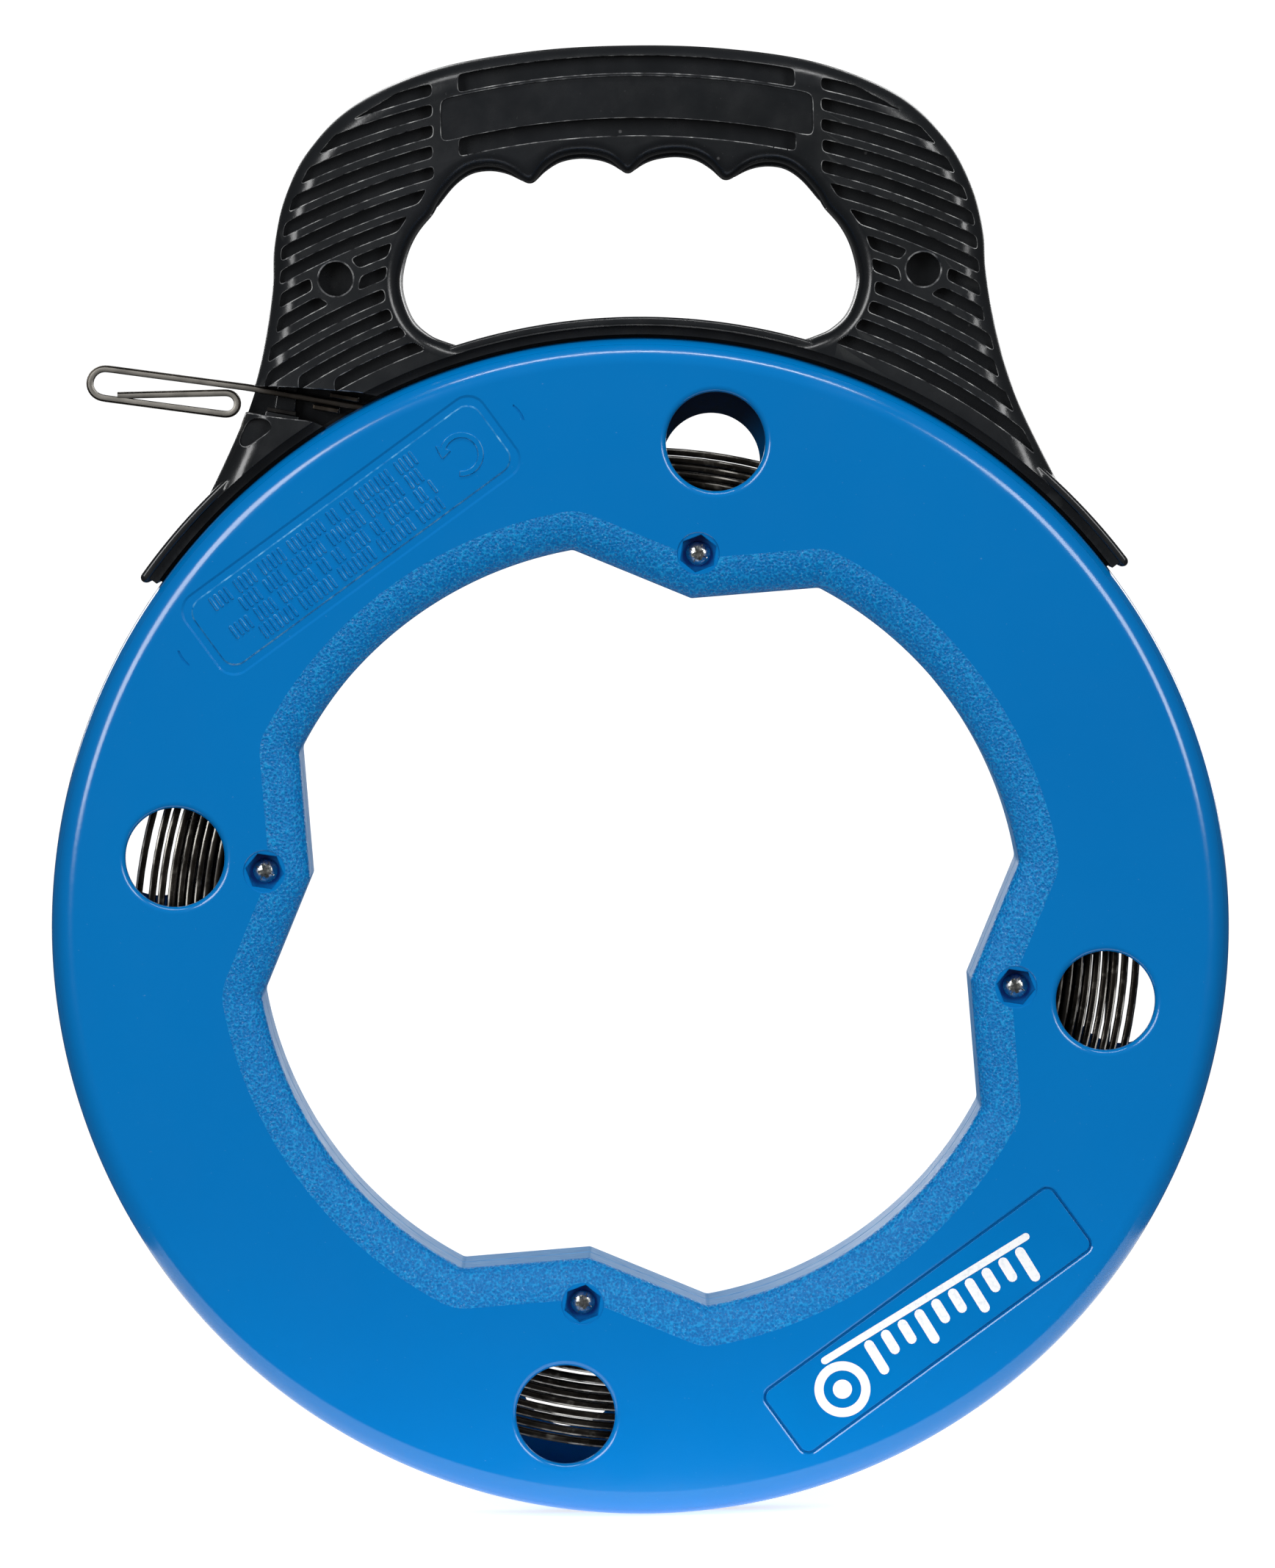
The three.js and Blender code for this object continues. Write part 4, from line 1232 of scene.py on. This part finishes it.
def brake_arm():
    """The arm from the trigger down behind the tape, with the foot that carries the lining."""
    arm = rounded_slab("arm", strip(arm_line(), ARM_W), ARM_FRONT, ARM_BACK, 0.5, 3)
    foot = resampled(foot_outline(FOOT_DROP + 1, FOOT_T - 1, FOOT_RIGHT, FOOT_LEFT), 0.5)
    return combine(arm, rounded_slab("foot", foot, -3, ARM_BACK - 0.05, 0.3, 2), "UNION")


def spring(sign):
    """A coil spring with its end turns closed, on the trigger's peg."""
    wire, turns, end_turn = 0.42, 6.5, 0.12
    r = SPRING_R - wire
    t = np.linspace(0, 1, 220)
    rise = np.clip((t - end_turn) / (1 - 2 * end_turn), 0, 1)
    z = SPRING_LOW + wire + (SPRING_HIGH - SPRING_LOW - 2 * wire) * (0.06 * t + 0.94 * rise)
    angle = 2 * math.pi * turns * t
    path = np.stack([sign * SPRING_X + r * np.cos(angle), r * np.sin(angle), z], 1)
    out = np.stack([np.cos(angle), np.sin(angle), np.zeros_like(t)], 1)
    other = np.cross(directions(path), out)
    round_wire = wire * circle((0, 0), 1, 8)
    rings = path[:, None] + out[:, None] * round_wire[:, :1] + other[:, None] * round_wire[:, 1:]
    return loft(f"spring_{sign}", rings)


def anchor_post():
    """The pin that holds the tape's inner end, waisted where the tape hooks round it."""
    end, r = CASE_HALF - WALL - 0.3, 1.4
    side = [(r - 0.3, -end), (r, -end + 0.3), (r, -9.8), (r - 0.25, -9.5), (r - 0.25, -5.7), (r, -5.4),
            (r, end - 0.3), (r - 0.3, end)]
    return turned("anchor_pin", [(0, -end), *side, (0, end)], steps=48, centre=polar(93, COIL_START))


# ---------------------------------------------------------------- label

LABEL_CENTRE = polar(LABEL_AT, PATTERN + 2.5 * QUARTER)
FILM_BACK = -CASE_HALF + LABEL_RECESS - FIT_GAP
FILM_T = 0.4
INK_T = 0.06


def label_film():
    line = rectangle(LABEL_CENTRE, LABEL_LENGTH - 1, LABEL_HEIGHT - 1, 2.0, TILT, 10)
    return rounded_slab("label_film", line, FILM_BACK - FILM_T, FILM_BACK, 0.12, 3)


def ink(outline):
    """A printed shape, drawn along and across the label from its middle."""
    face = FILM_BACK - FILM_T - 0.01
    at = turned_by(np.asarray(outline, float), TILT) + LABEL_CENTRE
    return slab("ink", at, face, face - INK_T)


def label_print():
    """A plain picture: a reel at the left, and its tape running out with measuring marks."""
    reel, r, turn_out = (-25.0, -1.2), 6.4, 4.5 * DEG
    ring = ink(circle(reel, r, 72))
    hole = slab("hole", turned_by(circle(reel, r - 2.1, 72), TILT) + LABEL_CENTRE, -20, -10)
    shapes = [combine(ring, hole, "DIFFERENCE"), ink(circle(reel, 2.2, 40))]
    thick, tape_length = 1.7, 54.0
    along, down = polar(1, -turn_out), polar(1, -turn_out - QUARTER)
    start = reel - (r + 1.3) * down
    shapes.append(ink(bar(start, start + tape_length * along, thick)))
    for k in range(10):
        top = start + (10.5 + k * 4.5) * along + 2.3 * down
        shapes.append(ink(bar(top, top + (6.6 if k % 3 == 0 else 3.9) * down, 2.3)))
    return joined("label_print", shapes)


# ---------------------------------------------------------------- materials

def linear(r, g, b):
    """An sRGB colour from 0 to 255, as linear light."""
    def one(c):
        c /= 255
        return c / 12.92 if c <= 0.04045 else ((c + 0.055) / 1.055) ** 2.4
    return (one(r), one(g), one(b), 1)


class Nodes:
    """A material under construction."""

    def __init__(self, name, **fixed):
        self.material = bpy.data.materials.new(name)
        self.material.use_nodes = True
        self.tree = self.material.node_tree
        self.shader = self.tree.nodes["Principled BSDF"]
        self.where = self.tree.nodes.new("ShaderNodeTexCoord").outputs["Object"]
        for socket, value in fixed.items():
            self.shader.inputs[socket.replace("_", " ")].default_value = value

    def link(self, a, b):
        self.tree.links.new(a, b)

    def noise(self, scale, detail=3.0, stretch=(1, 1, 1), rough=0.55):
        """Noise in object space; the scale is in features per metre."""
        place_node = self.tree.nodes.new("ShaderNodeMapping")
        place_node.inputs["Scale"].default_value = stretch
        self.link(self.where, place_node.inputs["Vector"])
        node = self.tree.nodes.new("ShaderNodeTexNoise")
        node.inputs["Scale"].default_value = scale
        node.inputs["Detail"].default_value = detail
        node.inputs["Roughness"].default_value = rough
        self.link(place_node.outputs["Vector"], node.inputs["Vector"])
        return node.outputs["Fac"]

    def cells(self, scale, feature="F1", stretch=(1, 1, 1)):
        place_node = self.tree.nodes.new("ShaderNodeMapping")
        place_node.inputs["Scale"].default_value = stretch
        self.link(self.where, place_node.inputs["Vector"])
        node = self.tree.nodes.new("ShaderNodeTexVoronoi")
        node.feature = feature
        node.inputs["Scale"].default_value = scale
        self.link(place_node.outputs["Vector"], node.inputs["Vector"])
        return node.outputs["Distance"]

    def ramp(self, factor, *stops):
        """Colours or values at positions from 0 to 1."""
        node = self.tree.nodes.new("ShaderNodeValToRGB")
        self.link(factor, node.inputs["Fac"])
        elements = node.color_ramp.elements
        while len(elements) < len(stops):
            elements.new(0.5)
        for element, (at, colour) in zip(elements, stops):
            element.position = at
            element.color = colour if hasattr(colour, "__len__") else (colour, colour, colour, 1)
        return node.outputs["Color"]

    def mix(self, factor, a, b, blend="MIX"):
        node = self.tree.nodes.new("ShaderNodeMix")
        node.data_type = "RGBA"
        node.blend_type = blend
        for value, socket in ((factor, node.inputs[0]), (a, node.inputs[6]), (b, node.inputs[7])):
            if hasattr(value, "is_linked"):
                self.link(value, socket)
            else:
                socket.default_value = value
        return node.outputs[2]

    def maths(self, operation, a, b):
        node = self.tree.nodes.new("ShaderNodeMath")
        node.operation = operation
        for value, socket in ((a, node.inputs[0]), (b, node.inputs[1])):
            if hasattr(value, "is_linked"):
                self.link(value, socket)
            else:
                socket.default_value = value
        return node.outputs[0]

    def bump(self, height, distance, strength=1.0, under=None):
        """Relief; distance in metres."""
        node = self.tree.nodes.new("ShaderNodeBump")
        node.inputs["Distance"].default_value = distance
        node.inputs["Strength"].default_value = strength
        self.link(height, node.inputs["Height"])
        if under:
            self.link(under, node.inputs["Normal"])
        return node.outputs["Normal"]

    def edges(self):
        """White on convex edges: a painted edge highlight."""
        geometry = self.tree.nodes.new("ShaderNodeNewGeometry")
        return self.ramp(geometry.outputs["Pointiness"], (0.52, 0.0), (0.62, 1.0))

    def done(self, colour, roughness, normal):
        self.link(colour, self.shader.inputs["Base Color"])
        self.link(roughness, self.shader.inputs["Roughness"])
        self.link(normal, self.shader.inputs["Normal"])
        return self.material


def case_plastic():
    m = Nodes("blue_case_plastic", Specular_IOR_Level=0.65, IOR=1.46)
    base = m.ramp(m.noise(9, 2), (0.3, linear(0, 116, 191)), (0.7, linear(0, 122, 197)))
    flecks = m.ramp(m.noise(1400, 1), (0.78, 0.0), (0.82, 1.0))
    colour = m.mix(m.maths("MULTIPLY", flecks, 0.25), base, linear(120, 180, 225))
    roughness = m.ramp(m.noise(60, 4), (0.3, 0.13), (0.75, 0.2))
    scratches = m.noise(40, 2, (1, 1, 26))
    skin = m.bump(m.noise(520, 3), 0.00002, 0.5)
    return m.done(colour, roughness, m.bump(scratches, 0.00002, 0.3, skin))


def grained_plastic():
    """The band around the opening: leathery grain, its low parts painted darker and its crests paler as
    painted shade and light, with painted highlight specks on its crests.
    """
    m = Nodes("grained_blue_plastic", Specular_IOR_Level=0.26, IOR=1.46)
    grain = m.noise(2000, 2.5, rough=0.6)
    pits = m.cells(1500)
    relief = m.mix(0.4, grain, pits)
    # Painted shade and light: the grain's pits darker, its crests paler.
    shaded_blues = (0.3, linear(0, 102, 175)), (0.5, linear(0, 119, 192)), (0.66, linear(20, 150, 216))
    base = m.ramp(relief, *shaded_blues)
    # Painted highlights: pale specks that stand for the light the grain catches.
    painted_glints = m.ramp(m.noise(2300, 1), (0.66, 0.0), (0.72, 1.0))
    colour = m.mix(m.maths("MULTIPLY", painted_glints, 0.3), base, linear(150, 200, 236))
    roughness = m.ramp(m.noise(300, 2), (0.3, 0.26), (0.7, 0.4))
    return m.done(colour, roughness, m.bump(relief, 0.0004, 1.0))


def edge_highlight_plastic():
    """The crisp edges of the reliefs, painted paler than the plastic round them as a painted edge highlight.
    """
    m = Nodes("painted_highlight_blue_edge", Specular_IOR_Level=0.3)
    colour = m.ramp(m.noise(480, 4), (0.32, linear(6, 108, 176)), (0.5, linear(40, 134, 196)),
                    (0.7, linear(120, 184, 224)))
    roughness = m.ramp(m.noise(400, 2), (0.3, 0.3), (0.7, 0.5))
    return m.done(colour, roughness, m.bump(m.noise(800, 2), 0.00003, 0.5))


def sheen_wall():
    """The opening's inner wall: a satin finish, its colour painted paler for the light and sheen it catches.
    """
    m = Nodes("painted_sheen_blue_wall", Specular_IOR_Level=0.4)
    colour = m.ramp(m.noise(220, 3, (1, 6, 1)), (0.3, linear(66, 132, 192)), (0.7, linear(112, 168, 216)))
    roughness = m.ramp(m.noise(260, 2), (0.3, 0.4), (0.7, 0.55))
    return m.done(colour, roughness, m.bump(m.noise(700, 2), 0.00004, 0.5))


def label_film_material():
    m = Nodes("label_film", Specular_IOR_Level=0.3, IOR=1.5)
    colour = m.ramp(m.noise(30, 2), (0.3, linear(0, 114, 187)), (0.7, linear(0, 120, 193)))
    roughness = m.ramp(m.noise(90, 3), (0.3, 0.16), (0.7, 0.22))
    return m.done(colour, roughness, m.bump(m.noise(160, 2), 0.00003, 0.4))


def ink_material():
    m = Nodes("white_ink", Specular_IOR_Level=0.3)
    colour = m.ramp(m.noise(900, 3), (0.25, linear(228, 234, 240)), (0.5, linear(252, 253, 254)))
    roughness = m.ramp(m.noise(200, 2), (0.3, 0.35), (0.7, 0.5))
    return m.done(colour, roughness, m.bump(m.noise(700, 2), 0.00001, 0.4))


def grip_plastic():
    m = Nodes("black_grip_plastic", Specular_IOR_Level=0.6, IOR=1.47)
    base = m.ramp(m.noise(25, 3), (0.3, linear(22, 24, 26)), (0.7, linear(31, 33, 36)))
    dust = m.ramp(m.noise(1100, 2), (0.72, 0.0), (0.78, 1.0))
    specks = m.ramp(m.cells(95), (0.02, 1.0), (0.045, 0.0))
    # Painted edge highlight: convex edges mixed towards pale grey.
    colour = m.mix(m.maths("MULTIPLY", m.edges(), 0.08), base, linear(120, 122, 120))
    colour = m.mix(m.maths("MULTIPLY", dust, 0.12), colour, linear(110, 112, 112))
    colour = m.mix(m.maths("MULTIPLY", specks, 0.3), colour, linear(150, 150, 150))
    roughness = m.ramp(m.noise(140, 4), (0.3, 0.19), (0.7, 0.31))
    fine = m.bump(m.noise(1300, 2), 0.00004, 0.4)
    return m.done(colour, roughness, m.bump(m.noise(180, 2), 0.00006, 0.3, fine))


def zinc():
    m = Nodes("bright_zinc", Metallic=1.0)
    colour = m.ramp(m.noise(420, 4), (0.25, linear(176, 178, 176)), (0.6, linear(226, 227, 224)),
                    (0.8, linear(244, 243, 236)))
    roughness = m.ramp(m.noise(600, 3), (0.3, 0.16), (0.75, 0.36))
    return m.done(colour, roughness, m.bump(m.noise(700, 3), 0.00006, 0.6))


def tape_steel():
    """Oil-blackened spring steel with a few bright rubbed lines."""
    m = Nodes("dark_tape_steel", Metallic=1.0)
    rubbed = m.ramp(m.noise(330, 3), (0.56, 0.0), (0.7, 1.0))
    base = m.ramp(m.noise(60, 4), (0.3, linear(34, 31, 29)), (0.7, linear(62, 58, 53)))
    colour = m.mix(m.maths("MULTIPLY", rubbed, 0.4), base, linear(140, 136, 128))
    roughness = m.ramp(m.noise(240, 4), (0.3, 0.22), (0.7, 0.42))
    return m.done(colour, roughness, m.bump(m.noise(900, 3), 0.00004, 0.6))


def corner_glint_steel():
    """The coil's outer corners, painted bright as a painted highlight along each turn."""
    m = Nodes("painted_glint_tape_corner", Metallic=0.35)
    colour = m.ramp(m.noise(110, 4), (0.42, linear(58, 55, 51)), (0.58, linear(204, 200, 191)))
    roughness = m.ramp(m.noise(240, 3), (0.3, 0.25), (0.7, 0.4))
    return m.done(colour, roughness, m.bump(m.noise(900, 2), 0.00002, 0.2))


def tape_end_steel():
    """The same steel on the leaving end, rubbed bright where it is bent and handled."""
    m = Nodes("bright_tape_steel", Metallic=1.0)
    bright = m.ramp(m.noise(200, 2), (0.3, linear(136, 133, 127)), (0.7, linear(162, 158, 151)))
    dark = m.ramp(m.noise(90, 4), (0.3, linear(62, 57, 52)), (0.7, linear(98, 92, 85)))
    split = m.tree.nodes.new("ShaderNodeSeparateXYZ")
    m.link(m.where, split.inputs[0])
    inside = m.maths("MULTIPLY_ADD", split.outputs["X"], 60.0)
    inside.node.inputs[2].default_value = 5.3
    colour = m.mix(m.ramp(inside, (0.0, 0.0), (0.35, 1.0)), bright, dark)
    roughness = m.ramp(m.noise(240, 3), (0.3, 0.4), (0.7, 0.5))
    return m.done(colour, roughness, m.bump(m.noise(900, 2), 0.00002, 0.12))


def painted_edge_highlight():
    """The moulding's crisp edges, painted pale grey on the black plastic as a broken painted highlight."""
    m = Nodes("painted_highlight_black_edge", Specular_IOR_Level=0.6)
    greys = (0.34, linear(26, 27, 29)), (0.5, linear(98, 99, 101)), (0.68, linear(190, 191, 190))
    colour = m.ramp(m.noise(420, 4), *greys)
    roughness = m.ramp(m.noise(500, 2), (0.3, 0.25), (0.7, 0.45))
    return m.done(colour, roughness, m.bump(m.noise(900, 2), 0.00005, 0.6))


def guide_steel():
    m = Nodes("guide_steel", Metallic=1.0)
    colour = m.ramp(m.noise(260, 4), (0.3, linear(58, 52, 46)), (0.7, linear(88, 80, 71)))
    roughness = m.ramp(m.noise(300, 3), (0.3, 0.3), (0.7, 0.5))
    return m.done(colour, roughness, m.bump(m.noise(800, 3), 0.00005, 0.6))


def brake_lining():
    m = Nodes("dark_lining", Specular_IOR_Level=0.2)
    colour = m.ramp(m.noise(500, 3), (0.3, linear(24, 23, 22)), (0.7, linear(40, 38, 36)))
    roughness = m.ramp(m.noise(300, 3), (0.3, 0.7), (0.7, 0.9))
    return m.done(colour, roughness, m.bump(m.noise(900, 3), 0.00008, 0.7))


def floor_material():
    m = Nodes("pale_floor", Specular_IOR_Level=0.05, Emission_Color=(1, 1, 1, 1), Emission_Strength=0.75)
    colour = m.ramp(m.noise(3, 2), (0.3, 0.9), (0.7, 0.92))
    roughness = m.ramp(m.noise(8, 2), (0.3, 0.85), (0.7, 0.95))
    return m.done(colour, roughness, m.bump(m.noise(300, 2), 0.00002, 0.1))


def paint(obj, *materials):
    obj.data.materials.clear()
    for material in materials:
        obj.data.materials.append(material)


def mark_edges(obj, side, outlines):
    """Gives the second material, the painted edge highlight, to the small flares round the cuts. side is -1
    for the front half.
    """
    centres = np.array([p.center[:] for p in obj.data.polygons]) / MM
    flat = np.stack([centres[:, 0], centres[:, 2] - AXIS_Z], 1)
    height = centres[:, 1] * -side        # below zero on the outer side, as for the front half
    for outline in outlines:
        low, high = outline.min(0) - 0.5, outline.max(0) + 0.5
        near = np.nonzero(((flat > low) & (flat < high)).all(1) & (height < -8))[0]
        near = near[distance_to(flat[near], outline) < 0.26] if len(near) else near
        if len(near) == 0:
            continue
        deep = height[near] + GRIP_HALF - surface_depth(flat[near])
        for i in near[(deep > 0.05) & (deep < 0.24)]:
            obj.data.polygons[i].material_index = 1


def cut_outlines():
    screws = [circle(GRIP_SCREW * (sign, 1), GRIP_SCREW_RECESS_R) for sign in (-1, 1)]
    return [*GROOVE_LINES, PANEL_LINE, *screws]


def grain_the_band(obj):
    """Gives the second material to the front half's rounded band around the opening, and the third, the
    painted sheen, to the opening's wall.
    """
    pockets = [polar(SCREW_RING_R, s) for s in STOPS]
    line = lobed(0)
    centres = np.array([p.center[:] for p in obj.data.polygons]) / MM
    flat = np.stack([centres[:, 0], centres[:, 2] - AXIS_Z], 1)
    deep = (centres[:, 1] > -CASE_HALF + 0.002) & (centres[:, 1] < -CASE_HALF + HUB_ROUND_D)
    near = deep & (np.linalg.norm(flat, axis=1) < HUB_R + HUB_ROUND_W + 0.2)
    for pocket in pockets:
        near &= np.linalg.norm(flat - pocket, axis=1) > 5.05
    chosen = np.nonzero(near)[0]
    for i, distance in zip(chosen, distance_to(flat[chosen], line)):
        if distance < HUB_ROUND_W + 0.1:
            obj.data.polygons[i].material_index = 1
    # The opening's wall takes the painted sheen.
    near_hub = np.linalg.norm(flat, axis=1) < HUB_R + 0.6
    walls = np.nonzero((centres[:, 1] > -CASE_HALF + HUB_ROUND_D) & near_hub)[0]
    for i, distance in zip(walls, distance_to(flat[walls], line)):
        if distance < 0.36:
            obj.data.polygons[i].material_index = 2


def highlight_the_reliefs(obj):
    """Gives the fourth material, the painted edge highlight, to the flanks of the reliefs and of the island
    they stand on.
    """
    for polygon in obj.data.polygons:
        x, y, z = polygon.center / MM
        standing = -CASE_HALF - RELIEF + 0.01 < y < -CASE_HALF - 0.01
        along, across = abs(turned_by(np.array([[x, z - AXIS_Z]]) - PANEL_AT, -TILT)[0])
        trough = -CASE_HALF + 0.01 < y < -CASE_HALF + 0.3 and along < 40.7 and across < 9.3
        if standing or trough and (along > 39 or across > 8):
            polygon.material_index = 3


# ---------------------------------------------------------------- pieces

case_front = case_half()
case_front.name = "front_case"
blue, grained, black = case_plastic(), grained_plastic(), grip_plastic()
bright_zinc, dark_steel, guide = zinc(), tape_steel(), guide_steel()
paint(case_front, blue, grained, sheen_wall(), edge_highlight_plastic())
finish_mesh(case_front, 20 * DEG)
grain_the_band(case_front)
# Painted edge highlights on the panel's reliefs.
highlight_the_reliefs(case_front)
case_rear = rear_from(case_front)
case_rear.name = "rear_case"
for obj, node in ((case_front, "front_case_half"), (case_rear, "rear_case_half")):
    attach(obj, "case")
    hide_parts(node)

def add(obj, body, node, material, sharp=32 * DEG):
    """Finishes a piece, which stands for one CAD node."""
    finish_mesh(obj, sharp)
    paint(obj, material)
    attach(obj, body)
    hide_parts(node)
    return obj


for k, stop in enumerate(STOPS):
    at = polar(SCREW_RING_R, stop)
    head_y = -POCKET_FLOOR - FIT_GAP
    nut_y = POCKET_FLOOR + FIT_GAP
    made = screw(f"case_screw_{k + 1}_detail", at, head_y, -1, nut_y + NUT_H + 1)
    add(made, "case", f"case_screw_{k + 1}", bright_zinc)
    made = nut(f"case_nut_{k + 1}_detail", at, nut_y, stop)
    add(made, "case", f"case_nut_{k + 1}", bright_zinc)

tape_turns = add(ribbon("tape_turns", coil_path()), "case", "tape_coil", dark_steel)
paint(tape_turns, dark_steel, corner_glint_steel())
# Painted highlights: the outer corner facets take the pale steel.
mark_facets(tape_turns, OUTER_CORNERS)
tape_end = add(ribbon("tape_end", leader_path()), "tape", "tape_leader", dark_steel)
paint(tape_end, tape_end_steel(), dark_steel)
# Painted shade: the facets beside the broad sides take the darker steel, so the strip is shaded along its
# edges.
mark_facets(tape_end, EDGE_FACETS)

cuts_in_grip = cut_outlines()
# Painted edge highlights for the grip's cut edges.
edge_highlight_grey = painted_edge_highlight()
mouth = [mouth_pocket_line(), smoothed(resampled(CHANNEL, 0.4), 1.5)]
grip_front = grip_half(False)
grip_front.name = "grip_front"
add(grip_front, "grip", "handle_front_half", black)
paint(grip_front, black, edge_highlight_grey)
mark_edges(grip_front, -1, cuts_in_grip + mouth)
grip_rear = to_rear(grip_half(True))
grip_rear.name = "grip_rear"
add(grip_rear, "grip", "handle_rear_half", black)
paint(grip_rear, black, edge_highlight_grey)
mark_edges(grip_rear, 1, cuts_in_grip)
for sign, name in ((-1, "left"), (1, "right")):
    made = screw(f"handle_screw_{name}_detail", GRIP_SCREW * (sign, 1), GRIP_SCREW_FLOOR + FIT_GAP, 1, -6.5)
    add(made, "grip", f"handle_screw_{name}", bright_zinc)
finger_bar = trigger_bar()
finger_bar.name = "finger_bar"
add(finger_bar, "trigger", "squeeze_trigger", black)
arm = brake_arm()
arm.name = "brake_lever"
add(arm, "trigger", "brake_arm", black)
pad_line = resampled(foot_outline(FOOT_DROP, PAD_T, FOOT_RIGHT - 0.5, FOOT_LEFT + 0.5), 0.25)
lining = rounded_slab("brake_lining", pad_line, -2.6, 2.3, 0.15, 2)
add(lining, "trigger", "brake_pad", brake_lining())
for sign, name in ((-1, "left"), (1, "right")):
    made = spring(sign)
    made.name = f"coil_spring_{name}"
    add(made, "grip", f"return_spring_{name}", bright_zinc, 60 * DEG)
    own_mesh(made)
for outline, name in zip(guide_outlines(0), ("upper", "lower")):
    made = rounded_slab(f"{name}_guide_detail", resampled(outline, 0.25), -GUIDE_HALF, GUIDE_HALF, 0.3, 3)
    add(made, "grip", f"{name}_guide_plate", guide)
add(anchor_post(), "case", "tape_anchor_post", bright_zinc)
add(label_film(), "case", "blank_label", label_film_material())
prints = label_print()
paint(prints, ink_material())
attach(prints, "case")


# ---------------------------------------------------------------- camera and light

def camera():
    tilt = 0.95 * DEG             # the object leans this far anticlockwise in the view
    data = bpy.data.cameras.new("camera")
    data.sensor_fit = "AUTO"
    data.sensor_width = 36
    data.lens = 225
    data.clip_start = 0.1
    data.clip_end = 100
    cam = bpy.data.objects.new("camera", data)
    bpy.context.scene.collection.objects.link(cam)
    eye = Vector((0.0013, -2.249, (AXIS_Z + 134.4) * MM))
    aim = Vector((-0.0001, -0.018, (AXIS_Z + 33.2) * MM))
    back = (eye - aim).normalized()
    up = Vector((math.sin(tilt), 0, math.cos(tilt)))
    right = up.cross(back).normalized()
    top = back.cross(right)
    cam.matrix_world = Matrix.Translation(eye) @ Matrix((right, top, back)).transposed().to_4x4()
    bpy.context.scene.camera = cam


def studio():
    """White surroundings to look at, soft dim light from all round, and softboxes in front and behind."""
    world = bpy.data.worlds.new("studio")
    world.use_nodes = True
    tree = world.node_tree
    soft = tree.nodes["Background"]
    soft.inputs["Color"].default_value = (0.97, 0.98, 1, 1)
    soft.inputs["Strength"].default_value = 0.06
    seen = tree.nodes.new("ShaderNodeBackground")
    seen.inputs["Color"].default_value = (1, 1, 1, 1)
    seen.inputs["Strength"].default_value = 1.1
    path = tree.nodes.new("ShaderNodeLightPath")
    mixed = tree.nodes.new("ShaderNodeMixShader")
    tree.links.new(path.outputs["Is Camera Ray"], mixed.inputs[0])
    tree.links.new(soft.outputs[0], mixed.inputs[1])
    tree.links.new(seen.outputs[0], mixed.inputs[2])
    tree.links.new(mixed.outputs[0], tree.nodes["World Output"].inputs["Surface"])
    bpy.context.scene.world = world
    bpy.context.scene.view_settings.view_transform = "Standard"
    for name, at, width, tall, power in (
        ("key_left", (-1.3, -2.0, 1.0), 0.8, 1.5, 34),
        ("key_right", (1.4, -1.9, 1.0), 0.7, 1.4, 26),
        ("overhead", (0.1, -0.8, 2.0), 1.5, 0.16, 12),
        ("back_left", (-0.8, 2.3, 1.1), 0.9, 1.6, 17),
        ("back_right", (0.9, 2.3, 0.9), 0.9, 1.6, 14),
    ):
        softbox(name, at, width, tall, power)


def softbox(name, at, width, tall, power):
    data = bpy.data.lights.new(name, "AREA")
    data.shape = "RECTANGLE"
    data.size = width
    data.size_y = tall
    data.energy = power
    light = bpy.data.objects.new(name, data)
    light.location = at
    middle = Vector((0, 0, 0.17))
    light.rotation_euler = (middle - Vector(at)).to_track_quat("-Z", "Y").to_euler()
    light.visible_camera = False
    bpy.context.scene.collection.objects.link(light)


def floor():
    side, front, back = 0.2, -0.07, 0.2
    mesh = bpy.data.meshes.new("floor")
    corners = [(-side, front, 0), (side, front, 0), (side, back, 0), (-side, back, 0)]
    mesh.from_pydata(corners, [], [(0, 1, 2, 3)])
    obj = bpy.data.objects.new("floor", mesh)
    obj.data.materials.append(floor_material())
    bpy.context.scene.collection.objects.link(obj)


camera()
studio()
floor()
